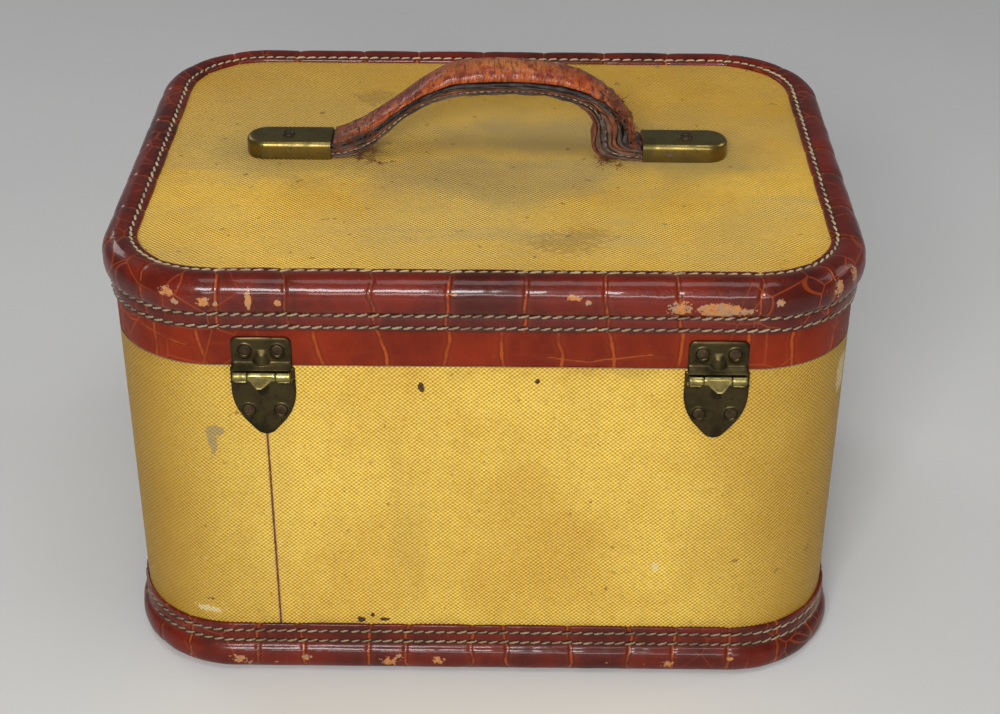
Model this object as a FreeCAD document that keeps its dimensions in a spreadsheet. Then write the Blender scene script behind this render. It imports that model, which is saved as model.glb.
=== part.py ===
import FreeCAD, Part
import math
import os
import Sketcher

# A makeup train case: a cloth covered wooden case with a hinged lid, leather binding, a
# strap handle, two stop hinges at the back (+Y), two hasp latches at the front (-Y) and a
# lift-out tray. Millimetres, +Z up, origin at the middle of the underside.

DIMENSIONS = [
    ("body_width", 330),
    ("body_depth", 254),
    ("corner_radius", 48),
    ("split_height", 168),
    ("lid_gap", 0.3),
    ("lid_top", 208.5),
    ("cloth", 0.8),
    ("ply", 5),
    ("lining", 1),
    ("base_skin", 1.5),
    ("pad_thick", 3),
    ("band_thick", 1.2),
    ("binding_thick", 1.5),
    ("binding_inset", 11.8),
    ("base_binding_top", 25.6),
    ("base_roll_top", 13.5),
    ("base_roll_radius", 8),
    ("lid_binding_bottom", 186.3),
    ("lid_roll_bottom", 195.5),
    ("lid_roll_rise", 3),
    ("lid_roll_inset", 4),
    ("lid_roll_radius", 9.5),
    ("lip_bottom", 150),
    ("lip_rise", 6),
    ("lip_thick", 4.2),
    ("lip_step", 2.2),
    ("ledge_top", 116),
    ("ledge_high", 10),
    ("ledge_deep", 8),
    ("ledge_long", 150),
    ("tray_inset", 12.5),
    ("tray_high", 45),
    ("tray_wall", 3.5),
    ("tray_floor", 3),
    ("divider_thick", 2.5),
    ("divider_high", 34),
    ("divider_shift", 18),
    ("tab_wide", 22),
    ("tab_thick", 1),
    ("tab_long", 26),
    ("tab_rise", 8),
    ("mirror_width", 210),
    ("mirror_depth", 150),
    ("mirror_radius", 12),
    ("frame_wide", 9),
    ("frame_lip", 3),
    ("frame_lip_thick", 1.2),
    ("backing_thick", 2),
    ("glass_thick", 2.2),
    ("handle_shift", -4.5),
    ("cap_mouth", 74),
    ("cap_long", 41),
    ("cap_wide", 20),
    ("cap_high", 9),
    ("cap_wall", 0.9),
    ("cap_round", 2.5),
    ("cap_rivet_at", 95),
    ("cap_rivet_radius", 3.2),
    ("strap_wide", 18),
    ("strap_thick", 4),
    ("strap_end", 102),
    ("core_thick", 2),
    ("crown_thick", 8),
    ("arch_radius", 72.5),
    ("arch_centre_up", 171.5),
    ("arch_centre_side", -4),
    ("arch_slope", 38),
    ("foot_bend", 22),
    ("crown_tail", 6),
    ("hinge_left_at", -101.8),
    ("hinge_right_at", 95),
    ("hinge_height", 165),
    ("hinge_stand", 4),
    ("barrel_radius", 2.5),
    ("pin_radius", 1.2),
    ("pin_slack", 0.05),
    ("knuckle_gap", 0.15),
    ("leaf_thick", 1.2),
    ("web_high", 5.5),
    ("hinge_wide", 25),
    ("middle_knuckle", 12.4),
    ("leaf_wide", 26),
    ("leaf_top", 182.7),
    ("leaf_bottom", 168.4),
    ("leaf_corner", 3),
    ("shield_wide", 28),
    ("shield_ear", 167.4),
    ("shield_top", 161),
    ("shield_waist", 156),
    ("shield_tip", 133.2),
    ("shield_side_radius", 25.4),
    ("shield_tip_half", 5),
    ("shield_tip_rise", 3.4),
    ("shield_tip_radius", 5.38),
    ("tail_long", 10),
    ("tail_root", 11),
    ("tail_tip", 3.6),
    ("tail_thick", 1.2),
    ("rivet_spacing", 14),
    ("lid_rivet_height", 176.3),
    ("body_rivet_height", 146),
    ("rivet_head_radius", 2.65),
    ("rivet_head_high", 1.4),
    ("rivet_shank_radius", 1.1),
    ("rivet_shank_long", 5.5),
    ("latch_at", 98),
    ("latch_height", 171.8),
    ("latch_stand", 7),
    ("latch_leaf_bottom", 172),
    ("latch_leaf_top", 185.4),
    ("latch_rivet_height", 181),
    ("hasp_wide", 18),
    ("hasp_thick", 1.4),
    ("hasp_bottom", 140),
    ("hasp_tip_radius", 9),
    ("lug_wide", 3),
    ("lug_top", 159),
    ("lug_bottom", 152),
    ("lug_inner", 1.8),
    ("bolt_height", 155.5),
    ("bolt_out", 3.9),
    ("bolt_radius", 1.4),
    ("eye_radius", 1.8),
    ("case_wide", 20),
    ("case_top", 162),
    ("case_bottom", 144),
    ("case_out", 5.8),
    ("notch_wide", 4),
    ("notch_bottom", 150),
    ("plate_wide", 30),
    ("plate_top", 166),
    ("plate_bottom", 134),
    ("plate_corner", 5),
    ("plate_rivet_height", 139),
    ("plate_rivet_spacing", 18),
    ("bolt_start", 2.6),
    ("bolt_end", 17),
    ("knob_radius", 3.2),
    ("knob_long", 5),
]

doc = FreeCAD.newDocument("makeup_train_case")
sheet = doc.addObject("Spreadsheet::Sheet", "dims")
for row, (alias, number) in enumerate(DIMENSIONS, start=1):
    sheet.set(f"A{row}", alias)
    sheet.set(f"B{row}", str(number))
    sheet.setAlias(f"B{row}", alias)
doc.recompute()

parts = []


def size(expression):
    """The number that an expression of the sheet's cells stands for now."""
    return float(sheet.evalExpression(expression))


def d(text):
    """An expression in which every word is a cell of the sheet."""
    words = text.replace("(", " ( ").replace(")", " ) ").split()
    return " ".join(f"dims.{word}" if word[0].isalpha() else word for word in words)


def add_part(piece, label):
    """Names a finished sub-part and lists it for export."""
    piece.Label = label
    parts.append(piece)
    return piece


def new_body(label, rise=None):
    """An empty body, lifted to a height."""
    body = add_part(doc.addObject("PartDesign::Body", label), label)
    if rise:
        body.setExpression("Placement.Base.z", d(rise))
    return body


def new_sketch(body, role="XY_Plane", shift=None):
    """A sketch on one of the body's own planes, moved along its normal."""
    sketch = body.newObject("Sketcher::SketchObject", "outline")
    plane = next(item for item in body.Origin.OriginFeatures if item.Role == role)
    sketch.AttachmentSupport = (plane, [""])
    sketch.MapMode = "FlatFace"
    if shift:
        sketch.setExpression("AttachmentOffset.Base.z", d(shift))
    return sketch


def constrain(sketch, kind, *targets, to=None):
    """Adds a constraint, bound to an expression where it has a size."""
    if to is None:
        return sketch.addConstraint(Sketcher.Constraint(kind, *targets))
    index = sketch.addConstraint(Sketcher.Constraint(kind, *targets, size(to)))
    sketch.setExpression(f"Constraints[{index}]", to)
    return index


def add_outline(sketch, corners):
    """A closed outline of (x, y, arc radius of the edge that follows, or None), counterclockwise.

    A positive radius bulges outwards and a negative one inwards.
    """
    spots = [(size(d(x)), size(d(y))) for x, y, _ in corners]
    first = sketch.GeometryCount
    for index, (start, corner) in enumerate(zip(spots, corners)):
        end = spots[(index + 1) % len(spots)]
        a = FreeCAD.Vector(*start, 0)
        b = FreeCAD.Vector(*end, 0)
        if corner[2] is None:
            sketch.addGeometry(Part.LineSegment(a, b))
            continue
        bulge = size(d(corner[2]))
        half = (b - a).Length / 2
        sagitta = abs(bulge) - math.sqrt(bulge * bulge - half * half)
        out = FreeCAD.Vector(b.y - a.y, a.x - b.x, 0).normalize()
        middle = (a + b) / 2 + out * math.copysign(sagitta, bulge)
        sketch.addGeometry(Part.Arc(a, middle, b))
    # An arc that bulges inwards is stored from its far end, so its two ends trade places.
    ends = [(2, 1) if c[2] and size(d(c[2])) < 0 else (1, 2) for c in corners]
    for index, corner in enumerate(corners):
        here = first + index
        following = (index + 1) % len(corners)
        constrain(sketch, "Coincident", here, ends[index][1], first + following, ends[following][0])
        constrain(sketch, "DistanceX", -1, 1, here, ends[index][0], to=d(corner[0]))
        constrain(sketch, "DistanceY", -1, 1, here, ends[index][0], to=d(corner[1]))
        if corner[2]:
            constrain(sketch, "Radius", here, to=f"abs({d(corner[2])})")


def add_box_outline(sketch, left, right, low, high):
    """A plain rectangle between four expressions."""
    add_outline(sketch, [(left, low, None), (right, low, None), (right, high, None), (left, high, None)])


def add_circle(sketch, x, y, radius):
    """A circle at (x, y)."""
    centre = FreeCAD.Vector(size(d(x)), size(d(y)), 0)
    index = sketch.addGeometry(Part.Circle(centre, FreeCAD.Vector(0, 0, 1), size(d(radius))))
    constrain(sketch, "DistanceX", -1, 1, index, 3, to=d(x))
    constrain(sketch, "DistanceY", -1, 1, index, 3, to=d(y))
    constrain(sketch, "Radius", index, to=d(radius))


def add_round_rectangle(sketch, width, depth, radius):
    """A rectangle with four equal round corners, centred on the sketch's origin."""
    half_w = f"( {width} ) / 2"
    half_d = f"( {depth} ) / 2"
    side = f"{half_w} - ( {radius} )"
    end = f"{half_d} - ( {radius} )"
    add_outline(sketch, [
        (side, f"0 - {half_d}", radius),
        (half_w, f"0 - ( {end} )", None),
        (half_w, end, radius),
        (side, half_d, None),
        (f"0 - ( {side} )", half_d, radius),
        (f"0 - {half_w}", end, None),
        (f"0 - {half_w}", f"0 - ( {end} )", radius),
        (f"0 - ( {side} )", f"0 - {half_d}", None),
    ])


def add_case_outline(sketch, inset):
    """The case's own outline, this far inside its outer face."""
    inner = f"2 * ( {inset} )"
    add_round_rectangle(
        sketch, f"body_width - {inner}", f"body_depth - {inner}", f"corner_radius - ( {inset} )")


def pad(body, sketch, length, back=False, both=False):
    """Grows a sketch along its normal, against it, or both ways from the middle."""
    feature = body.newObject("PartDesign::Pad", "pad")
    feature.Profile = sketch
    feature.setExpression("Length", d(length))
    feature.Reversed = back
    feature.Midplane = both
    return feature


def pocket(body, sketch, length, back=False, both=False):
    """Cuts a sketch out of the body: against its normal, along it, or both ways."""
    doc.recompute()
    before = body.Shape.Volume
    feature = body.newObject("PartDesign::Pocket", "pocket")
    feature.Profile = sketch
    feature.setExpression("Length", d(length))
    feature.Reversed = back
    feature.Midplane = both
    doc.recompute()
    if body.Shape.Volume > before - 1e-6:
        raise RuntimeError(f"the pocket in {body.Label} cuts nothing")
    return feature


def make_slab(label, inset, low, high):
    """A flat panel with the case's outline."""
    body = new_body(label, low)
    sketch = new_sketch(body)
    add_case_outline(sketch, inset)
    pad(body, sketch, f"( {high} ) - ( {low} )")
    return body


def make_hoop(label, outer, inner, low, high):
    """An upright wall that follows the case's outline."""
    body = new_body(label, low)
    sketch = new_sketch(body)
    add_case_outline(sketch, outer)
    add_case_outline(sketch, inner)
    pad(body, sketch, f"( {high} ) - ( {low} )")
    return body


def hollow(body, inset, floor, height, upside_down=False):
    """Hollows a slab from its top down to a floor, or from a ceiling down and out of its underside."""
    start = f"( {height} ) - ( {floor} )" if upside_down else height
    sketch = new_sketch(body, shift=start)
    add_case_outline(sketch, inset)
    pocket(body, sketch, f"( {height} ) - ( {floor} )")


def make_binding(label, corners, rise):
    """A leather strip swept round the case. The profile's x is the distance outside its side."""
    body = new_body(label, rise)
    path = new_sketch(body)
    add_case_outline(path, "0")
    section = new_sketch(body, "XZ_Plane")
    add_outline(section, [
        (f"body_width / 2 + {x}", f"{y} - ( {rise} )", radius) for x, y, radius in corners])
    sweep = body.newObject("PartDesign::AdditivePipe", "sweep")
    sweep.Profile = section
    sweep.Spine = (path, [f"Edge{index}" for index in range(1, 9)])
    return body


# Wooden body, its cloth, its leather foot binding and its lining.
cloth_to_ply = "cloth + ply"
lining_face = "cloth + ply + lining"
board_top = "base_skin + ply"
make_hoop("body_wall", "cloth", cloth_to_ply, "base_skin", "split_height")
make_hoop("body_cloth", "0", "cloth", "base_skin", "split_height")
make_slab("bottom_board", cloth_to_ply, "base_skin", board_top)
make_slab("bottom_cloth", "binding_inset", "0", "base_skin")
make_binding("bottom_binding", [
    ("0 - binding_inset", "0", None),
    ("0", "0", "base_roll_radius"),
    ("binding_thick", "base_roll_top", None),
    ("binding_thick", "base_binding_top", None),
    ("0", "base_binding_top", None),
    ("0", "base_skin", None),
    ("0 - binding_inset", "base_skin", None),
], "0")
body_lining = make_slab("body_lining", cloth_to_ply, board_top, "split_height")
hollow(body_lining, lining_face, "lining", f"split_height - ( {board_top} )")
make_slab("bottom_pad", lining_face, f"{board_top} + lining", f"{board_top} + lining + pad_thick")

# Rabbeted lip inside the rim, which the lid closes over.
rim_lip = make_hoop("rim_lip", lining_face, f"{lining_face} + lip_thick", "lip_bottom", "split_height")
lip_top = new_sketch(rim_lip, shift="split_height - lip_bottom")
add_case_outline(lip_top, f"{lining_face} + lip_step")
add_case_outline(lip_top, f"{lining_face} + lip_thick")
pad(rim_lip, lip_top, "lip_rise")

# Ledges that carry the tray.
for side, sign in (("left", "0 - 1"), ("right", "1")):
    ledge = new_body(f"tray_ledge_{side}", "ledge_top - ledge_high")
    ledge.setExpression(
        "Placement.Base.x",
        d(f"( {sign} ) * ( body_width / 2 - ( {lining_face} ) - ledge_deep / 2 )"))
    ledge_outline = new_sketch(ledge)
    add_box_outline(
        ledge_outline, "0 - ledge_deep / 2", "ledge_deep / 2", "0 - ledge_long / 2", "ledge_long / 2")
    pad(ledge, ledge_outline, "ledge_high")

# Lift-out tray with dividers and pull tabs.
tray_low = "ledge_top"
tray = make_slab("tray_box", "tray_inset", tray_low, "ledge_top + tray_high")
hollow(tray, "tray_inset + tray_wall", "tray_floor", "tray_high")
inner_width = "body_width / 2 - tray_inset - tray_wall"
inner_depth = "body_depth / 2 - tray_inset - tray_wall"


def make_divider(label, left, right, low, high):
    """An upright card wall that stands on the tray's floor."""
    body = new_body(label, "ledge_top + tray_floor")
    sketch = new_sketch(body)
    add_box_outline(sketch, left, right, low, high)
    pad(body, sketch, "divider_high")


make_divider(
    "tray_divider_long", f"0 - ( {inner_width} )", inner_width, "divider_shift",
    "divider_shift + divider_thick")
for side, place in (("left", "0 - body_width / 6"), ("right", "body_width / 6")):
    make_divider(
        f"tray_divider_{side}", f"{place} - divider_thick / 2", f"{place} + divider_thick / 2",
        f"0 - ( {inner_depth} )", "divider_shift")
make_divider(
    "tray_divider_back", "0 - divider_thick / 2", "divider_thick / 2",
    "divider_shift + divider_thick", inner_depth)


def box(name, long, wide, high, x, y, z):
    """A plain block from its three sizes and its lowest corner."""
    block = doc.addObject("Part::Box", name)
    sizes = (("Length", long), ("Width", wide), ("Height", high))
    places = (("Placement.Base.x", x), ("Placement.Base.y", y), ("Placement.Base.z", z))
    for name_of, expression in sizes + places:
        block.setExpression(name_of, d(expression))
    return block


tabs = doc.addObject("Part::Compound", "tray_tabs")
tabs.Links = [
    box(
        f"tab_{side}", "tab_thick", "tab_wide", "tab_long",
        place, "0 - tab_wide / 2 - divider_shift * 2", "ledge_top + tray_high + tab_rise - tab_long")
    for side, place in (("left", f"0 - ( {inner_width} )"), ("right", f"{inner_width} - tab_thick"))
]
add_part(tabs, "tray_tabs")

# Wooden lid, its cloth top, leather band, rolled leather binding and lining.
lid_low = "split_height + lid_gap"
wall_face = "band_thick + ply"
ceiling = "lid_top - cloth - ply"
make_hoop("lid_wall", "band_thick", wall_face, lid_low, ceiling)
make_slab("lid_board", "band_thick", ceiling, "lid_top - cloth")
make_hoop("lid_band", "0", "band_thick", lid_low, "lid_top - cloth")
make_slab("lid_cloth", "0", "lid_top - cloth", "lid_top")
make_binding("lid_binding", [
    ("binding_thick", "lid_binding_bottom", None),
    ("binding_thick", "lid_roll_bottom", "lid_roll_radius"),
    ("0 - lid_roll_inset", "lid_top + lid_roll_rise", None),
    ("0 - binding_inset + binding_thick", "lid_top + binding_thick", None),
    ("0 - binding_inset", "lid_top + binding_thick", None),
    ("0 - binding_inset", "lid_top", None),
    ("0", "lid_top", None),
    ("0", "lid_binding_bottom", None),
], "lid_binding_bottom")
lid_lining = make_slab("lid_lining", wall_face, lid_low, ceiling)
hollow(lid_lining, f"{wall_face} + lining", "lining", f"{ceiling} - ( {lid_low} )", upside_down=True)

# Framed mirror on the lid's ceiling.
mirror_top = f"{ceiling} - lining"
mirror_low = f"{mirror_top} - backing_thick - glass_thick - frame_lip_thick"
glass_width = "mirror_width - 2 * ( frame_wide - frame_lip )"
glass_depth = "mirror_depth - 2 * ( frame_wide - frame_lip )"
glass_radius = "mirror_radius - ( frame_wide - frame_lip )"
frame = new_body("mirror_frame", mirror_low)
frame_outline = new_sketch(frame)
add_round_rectangle(frame_outline, "mirror_width", "mirror_depth", "mirror_radius")
add_round_rectangle(
    frame_outline, "mirror_width - 2 * frame_wide", "mirror_depth - 2 * frame_wide",
    "mirror_radius - frame_wide")
pad(frame, frame_outline, "backing_thick + glass_thick + frame_lip_thick")
rabbet = new_sketch(frame, shift="backing_thick + glass_thick + frame_lip_thick")
add_round_rectangle(rabbet, glass_width, glass_depth, glass_radius)
pocket(frame, rabbet, "backing_thick + glass_thick")
for label, low, thick in (
    ("mirror_glass", f"{mirror_low} + frame_lip_thick", "glass_thick"),
    ("mirror_backing", f"{mirror_top} - backing_thick", "backing_thick"),
):
    pane = new_body(label, low)
    pane_outline = new_sketch(pane)
    add_round_rectangle(pane_outline, glass_width, glass_depth, glass_radius)
    pad(pane, pane_outline, thick)


# Strap handle: a base strap, a core and a crown, bent along one arch, and two caps.
def strap_layer(label, low, high, reach):
    """A layer of the strap between two heights above its base strap's middle.

    reach is how far the layer goes past the arch on each side, along the slope, or None
    where it goes through both bends into the caps.
    """
    centre = FreeCAD.Vector(size("dims.arch_centre_side"), 0, size("dims.arch_centre_up"))
    tilt = math.radians(size("dims.arch_slope"))
    radius = size("dims.arch_radius")
    bend = size("dims.foot_bend")
    middle_up = size(d("lid_top + strap_thick / 2"))
    strap_end = size("dims.strap_end")

    def side_points(sign, offset):
        """Points of one side from the arch's end outwards, at one offset."""
        out = FreeCAD.Vector(sign * math.sin(tilt), 0, math.cos(tilt))
        along = FreeCAD.Vector(sign * math.cos(tilt), 0, -math.sin(tilt))
        arch_end = centre + out * radius
        drop = arch_end.z + bend * math.cos(tilt) - bend - middle_up
        bend_start = arch_end + along * (drop / math.sin(tilt))
        hub = bend_start + out * bend
        bent = bend - offset
        half = FreeCAD.Vector(sign * math.sin(tilt / 2), 0, math.cos(tilt / 2))
        return {
            "arch": arch_end + out * offset,
            "reach": arch_end + out * offset + along * (reach or 0),
            "bend_start": bend_start + out * offset,
            "bend_middle": hub - half * bent,
            "bend_end": hub - FreeCAD.Vector(0, 0, bent),
            "end": FreeCAD.Vector(sign * strap_end, 0, middle_up + offset),
        }

    def run(offset):
        """The edges of one long face, from the left end to the right."""
        left = side_points(-1, offset)
        right = side_points(1, offset)
        top = centre + FreeCAD.Vector(0, 0, radius + offset)
        arch = Part.Arc(left["arch"], top, right["arch"])
        if reach is not None:
            return [
                Part.LineSegment(left["reach"], left["arch"]), arch,
                Part.LineSegment(right["arch"], right["reach"])], left["reach"], right["reach"]
        edges = [
            Part.LineSegment(left["end"], left["bend_end"]),
            Part.Arc(left["bend_end"], left["bend_middle"], left["bend_start"]),
            Part.LineSegment(left["bend_start"], left["arch"]),
            arch,
            Part.LineSegment(right["arch"], right["bend_start"]),
            Part.Arc(right["bend_start"], right["bend_middle"], right["bend_end"]),
            Part.LineSegment(right["bend_end"], right["end"]),
        ]
        return edges, left["end"], right["end"]

    under, under_left, under_right = run(low)
    over, over_left, over_right = run(high)
    ends = [Part.LineSegment(under_left, over_left), Part.LineSegment(under_right, over_right)]
    edges = [curve.toShape() for curve in under + over + ends]
    face = Part.Face(Part.Wire(Part.__sortEdges__(edges)))
    wide = size("dims.strap_wide")
    strap = doc.addObject("Part::Feature", label)
    strap.Shape = face.extrude(FreeCAD.Vector(0, wide, 0))
    strap.Placement = FreeCAD.Placement()
    strap.setExpression("Placement.Base.y", d("handle_shift - strap_wide / 2"))
    add_part(strap, label)


half_strap = size("dims.strap_thick") / 2
core_top = half_strap + size("dims.core_thick")
crown_reach = size("dims.crown_tail")
strap_layer("handle_strap", -half_strap, half_strap, None)
strap_layer("handle_core", half_strap, core_top, crown_reach)
strap_layer("handle_crown", core_top, core_top + size("dims.crown_thick"), crown_reach)

for side, turn in (("left", 180), ("right", 0)):
    cap = new_body(f"handle_cap_{side}", "lid_top")
    cap.Placement.Rotation = FreeCAD.Rotation(FreeCAD.Vector(0, 0, 1), turn)
    cap.setExpression("Placement.Base.y", d("handle_shift"))
    cap_outline = new_sketch(cap)
    round_start = "cap_mouth + cap_long - cap_wide / 2"
    add_outline(cap_outline, [
        ("cap_mouth", "0 - cap_wide / 2", None),
        (round_start, "0 - cap_wide / 2", "cap_wide / 2"),
        ("cap_mouth + cap_long", "0", "cap_wide / 2"),
        (round_start, "cap_wide / 2", None),
        ("cap_mouth", "cap_wide / 2", None),
    ])
    cap_pad = pad(cap, cap_outline, "cap_high")
    doc.recompute()
    cap_high = size("dims.cap_high")
    upper = [
        f"Edge{index}" for index, edge in enumerate(cap_pad.Shape.Edges, start=1)
        if all(abs(vertex.Z - cap_high) < 1e-6 for vertex in edge.Vertexes)
        and abs(edge.CenterOfMass.x - size("dims.cap_mouth")) > 1e-3
    ]
    rounding = cap.newObject("PartDesign::Fillet", "rounding")
    rounding.Base = (cap_pad, upper)
    rounding.setExpression("Radius", d("cap_round"))
    inside = new_sketch(cap)
    inner_half = "cap_wide / 2 - cap_wall"
    inner_end = "cap_mouth + cap_long - cap_wall"
    add_outline(inside, [
        ("cap_mouth - cap_wall", f"0 - ( {inner_half} )", None),
        (round_start, f"0 - ( {inner_half} )", inner_half),
        (inner_end, "0", inner_half),
        (round_start, inner_half, None),
        ("cap_mouth - cap_wall", inner_half, None),
    ])
    pocket(cap, inside, "cap_high - 2 * cap_wall", back=True)


def make_rivets(label, spots, turn=None):
    """Domed rivets, each a shank under a head, at (x, y, z) with a shared axis.

    turn is the rotation that carries +Z to the side that the heads face.
    """
    head_radius, head_high, shank = spots["head_radius"], spots["head_high"], spots["shank"]
    solids = []
    for index, place in enumerate(spots["places"], start=1):
        dome = doc.addObject("Part::Sphere", f"{label}_dome_{index}")
        ball = f"( ( {head_radius} ) ^ 2 + ( {head_high} ) ^ 2 ) / ( 2 * ( {head_high} ) )"
        dome.setExpression("Radius", d(ball))
        dome.setExpression("Angle1", f"asin( 1 - {d(head_high)} / ( {d(ball)} ) )")
        dome.setExpression("Placement.Base.z", f"{d(head_high)} - ( {d(ball)} )")
        stem = doc.addObject("Part::Cylinder", f"{label}_stem_{index}")
        stem.setExpression("Radius", d("rivet_shank_radius"))
        stem.setExpression("Height", f"{d(shank)}")
        stem.setExpression("Placement.Base.z", f"0 - ({d(shank)})")
        rivet = doc.addObject("Part::Fuse", f"{label}_rivet_{index}")
        rivet.Base = dome
        rivet.Tool = stem
        if turn:
            rivet.Placement.Rotation = turn
        for axis, expression in zip("xyz", place):
            rivet.setExpression(f"Placement.Base.{axis}", d(expression))
        solids.append(rivet)
    group = doc.addObject("Part::Compound", label)
    group.Links = solids
    add_part(group, label)


make_rivets("handle_rivets", {
    "head_radius": "cap_rivet_radius", "head_high": "rivet_head_high", "shank": "cap_high + ply - 1",
    "places": [
        ("0 - cap_rivet_at", "handle_shift", "lid_top + cap_high"),
        ("cap_rivet_at", "handle_shift", "lid_top + cap_high"),
    ],
})


def plant(body, at, out, height, turn=0):
    """Puts a fitting drawn at its axis height on the case's face, turned about the vertical."""
    body.Placement.Rotation = FreeCAD.Rotation(FreeCAD.Vector(0, 0, 1), turn)
    body.setExpression("Placement.Base.x", d(at))
    body.setExpression("Placement.Base.y", d(out))
    body.setExpression("Placement.Base.z", d(height))


def add_rivet_holes(body, spacing, height, thick):
    """Two holes through a leaf for its rivets."""
    holes = new_sketch(body, "XZ_Plane")
    for sign in ("0 - 1", "1"):
        add_circle(holes, f"( {sign} ) * {spacing} / 2", height, "rivet_shank_radius")
    pocket(body, holes, thick, back=False)


def add_knuckle(body, wide, web, stand):
    """A barrel and the web that joins it to its leaf, centred on the fitting."""
    for draw in ("web", "barrel"):
        section = new_sketch(body, "YZ_Plane")
        if draw == "web":
            add_outline(section, web)
        else:
            add_circle(section, stand, "0", "barrel_radius")
        pad(body, section, wide, both=True)


def add_bore(body, stand, wide, slack):
    """The pin's hole along the barrel."""
    section = new_sketch(body, "YZ_Plane")
    add_circle(section, stand, "0", f"pin_radius + {slack}")
    pocket(body, section, f"{wide} + 2", both=True)


def split_knuckle(body, wide, reach):
    """Opens the middle of a wide barrel for the other leaf's knuckle."""
    gap = new_sketch(body, "XZ_Plane", shift=f"0 - ( {reach} )")
    add_box_outline(
        gap, f"0 - ( {wide} ) / 2", f"( {wide} ) / 2",
        "0 - barrel_radius - web_high", "barrel_radius + web_high")
    pocket(body, gap, f"{reach} - leaf_thick", back=True)


def make_pin(label, at, out, height, stand, turn):
    """The hinge pin, along X."""
    body = new_body(label)
    plant(body, at, out, height, turn)
    section = new_sketch(body, "YZ_Plane")
    add_circle(section, stand, "0", "pin_radius")
    pad(body, section, "hinge_wide", both=True)


# Stop hinges at the back: a lid leaf with the middle knuckle and a stop tail, and a
# shield-shaped body leaf with the outer knuckles.
hinge_face = "body_depth / 2"
for side in ("left", "right"):
    at = f"hinge_{side}_at"
    lid_leaf = new_body(f"hinge_{side}_lid_leaf")
    plant(lid_leaf, at, hinge_face, "hinge_height")
    leaf_outline = new_sketch(lid_leaf, "XZ_Plane")
    leaf_low = "leaf_bottom - hinge_height"
    leaf_high = "leaf_top - hinge_height"
    add_outline(leaf_outline, [
        ("0 - leaf_wide / 2", leaf_low, None),
        ("leaf_wide / 2", leaf_low, None),
        ("leaf_wide / 2", f"{leaf_high} - leaf_corner", "leaf_corner"),
        ("leaf_wide / 2 - leaf_corner", leaf_high, None),
        ("0 - leaf_wide / 2 + leaf_corner", leaf_high, "leaf_corner"),
        ("0 - leaf_wide / 2", f"{leaf_high} - leaf_corner", None),
    ])
    pad(lid_leaf, leaf_outline, "leaf_thick", back=True)
    add_knuckle(lid_leaf, "middle_knuckle - 2 * knuckle_gap", [
        ("0", leaf_low, None),
        ("hinge_stand * 2 / 5", "barrel_radius / 4", None),
        ("hinge_stand", "0", None),
        ("hinge_stand", "barrel_radius - 0.1", None),
        ("leaf_thick", f"{leaf_low} + 4", None),
        ("0", f"{leaf_low} + 4", None),
    ], "hinge_stand")
    tail = new_sketch(lid_leaf)
    add_outline(tail, [
        ("0 - tail_root / 2", "hinge_stand", None),
        ("tail_root / 2", "hinge_stand", None),
        ("tail_tip / 2", "hinge_stand + tail_long - tail_tip / 2", "tail_tip / 2"),
        ("0", "hinge_stand + tail_long", "tail_tip / 2"),
        ("0 - tail_tip / 2", "hinge_stand + tail_long - tail_tip / 2", None),
    ])
    pad(lid_leaf, tail, "tail_thick", both=True)
    add_bore(lid_leaf, "hinge_stand", "middle_knuckle", "pin_slack")
    add_rivet_holes(lid_leaf, "rivet_spacing", "lid_rivet_height - hinge_height", "leaf_thick")

    body_leaf = new_body(f"hinge_{side}_body_leaf")
    plant(body_leaf, at, hinge_face, "hinge_height")
    shield = new_sketch(body_leaf, "XZ_Plane")
    ear = "shield_ear - hinge_height"
    notch = "middle_knuckle / 2 + knuckle_gap"
    top = "shield_top - hinge_height"
    waist = "shield_waist - hinge_height"
    tip = "shield_tip - hinge_height"
    add_outline(shield, [
        ("shield_wide / 2", ear, None),
        (notch, ear, None),
        (notch, top, None),
        (f"0 - ( {notch} )", top, None),
        (f"0 - ( {notch} )", ear, None),
        ("0 - shield_wide / 2", ear, None),
        ("0 - shield_wide / 2", waist, "shield_side_radius"),
        ("0 - shield_tip_half", f"{tip} + shield_tip_rise", "shield_tip_radius"),
        ("0", tip, "shield_tip_radius"),
        ("shield_tip_half", f"{tip} + shield_tip_rise", "shield_side_radius"),
        ("shield_wide / 2", waist, None),
    ])
    pad(body_leaf, shield, "leaf_thick", back=True)
    add_knuckle(body_leaf, "hinge_wide", [
        ("0", f"{top} - 3", None),
        ("leaf_thick", f"{top} - 3", None),
        ("hinge_stand", "0.1 - barrel_radius", None),
        ("hinge_stand", "0", None),
        ("hinge_stand * 2 / 5", "0 - barrel_radius / 4", None),
        ("0", top, None),
    ], "hinge_stand")
    split_knuckle(body_leaf, "middle_knuckle", "hinge_stand + barrel_radius + 1")
    add_bore(body_leaf, "hinge_stand", "hinge_wide", "0")
    add_rivet_holes(body_leaf, "rivet_spacing", "body_rivet_height - hinge_height", "leaf_thick")

    make_pin(f"hinge_{side}_pin", at, hinge_face, "hinge_height", "hinge_stand", 0)
    for half in ("lid", "body"):
        make_rivets(f"hinge_{side}_{half}_rivets", {
            "head_radius": "rivet_head_radius", "head_high": "rivet_head_high",
            "shank": "rivet_shank_long",
            "places": [
                (f"{at} + ( {sign} ) * rivet_spacing / 2", f"{hinge_face} + leaf_thick",
                 f"{half}_rivet_height")
                for sign in ("0 - 1", "1")
            ],
        }, FreeCAD.Rotation(FreeCAD.Vector(1, 0, 0), -90))

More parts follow.
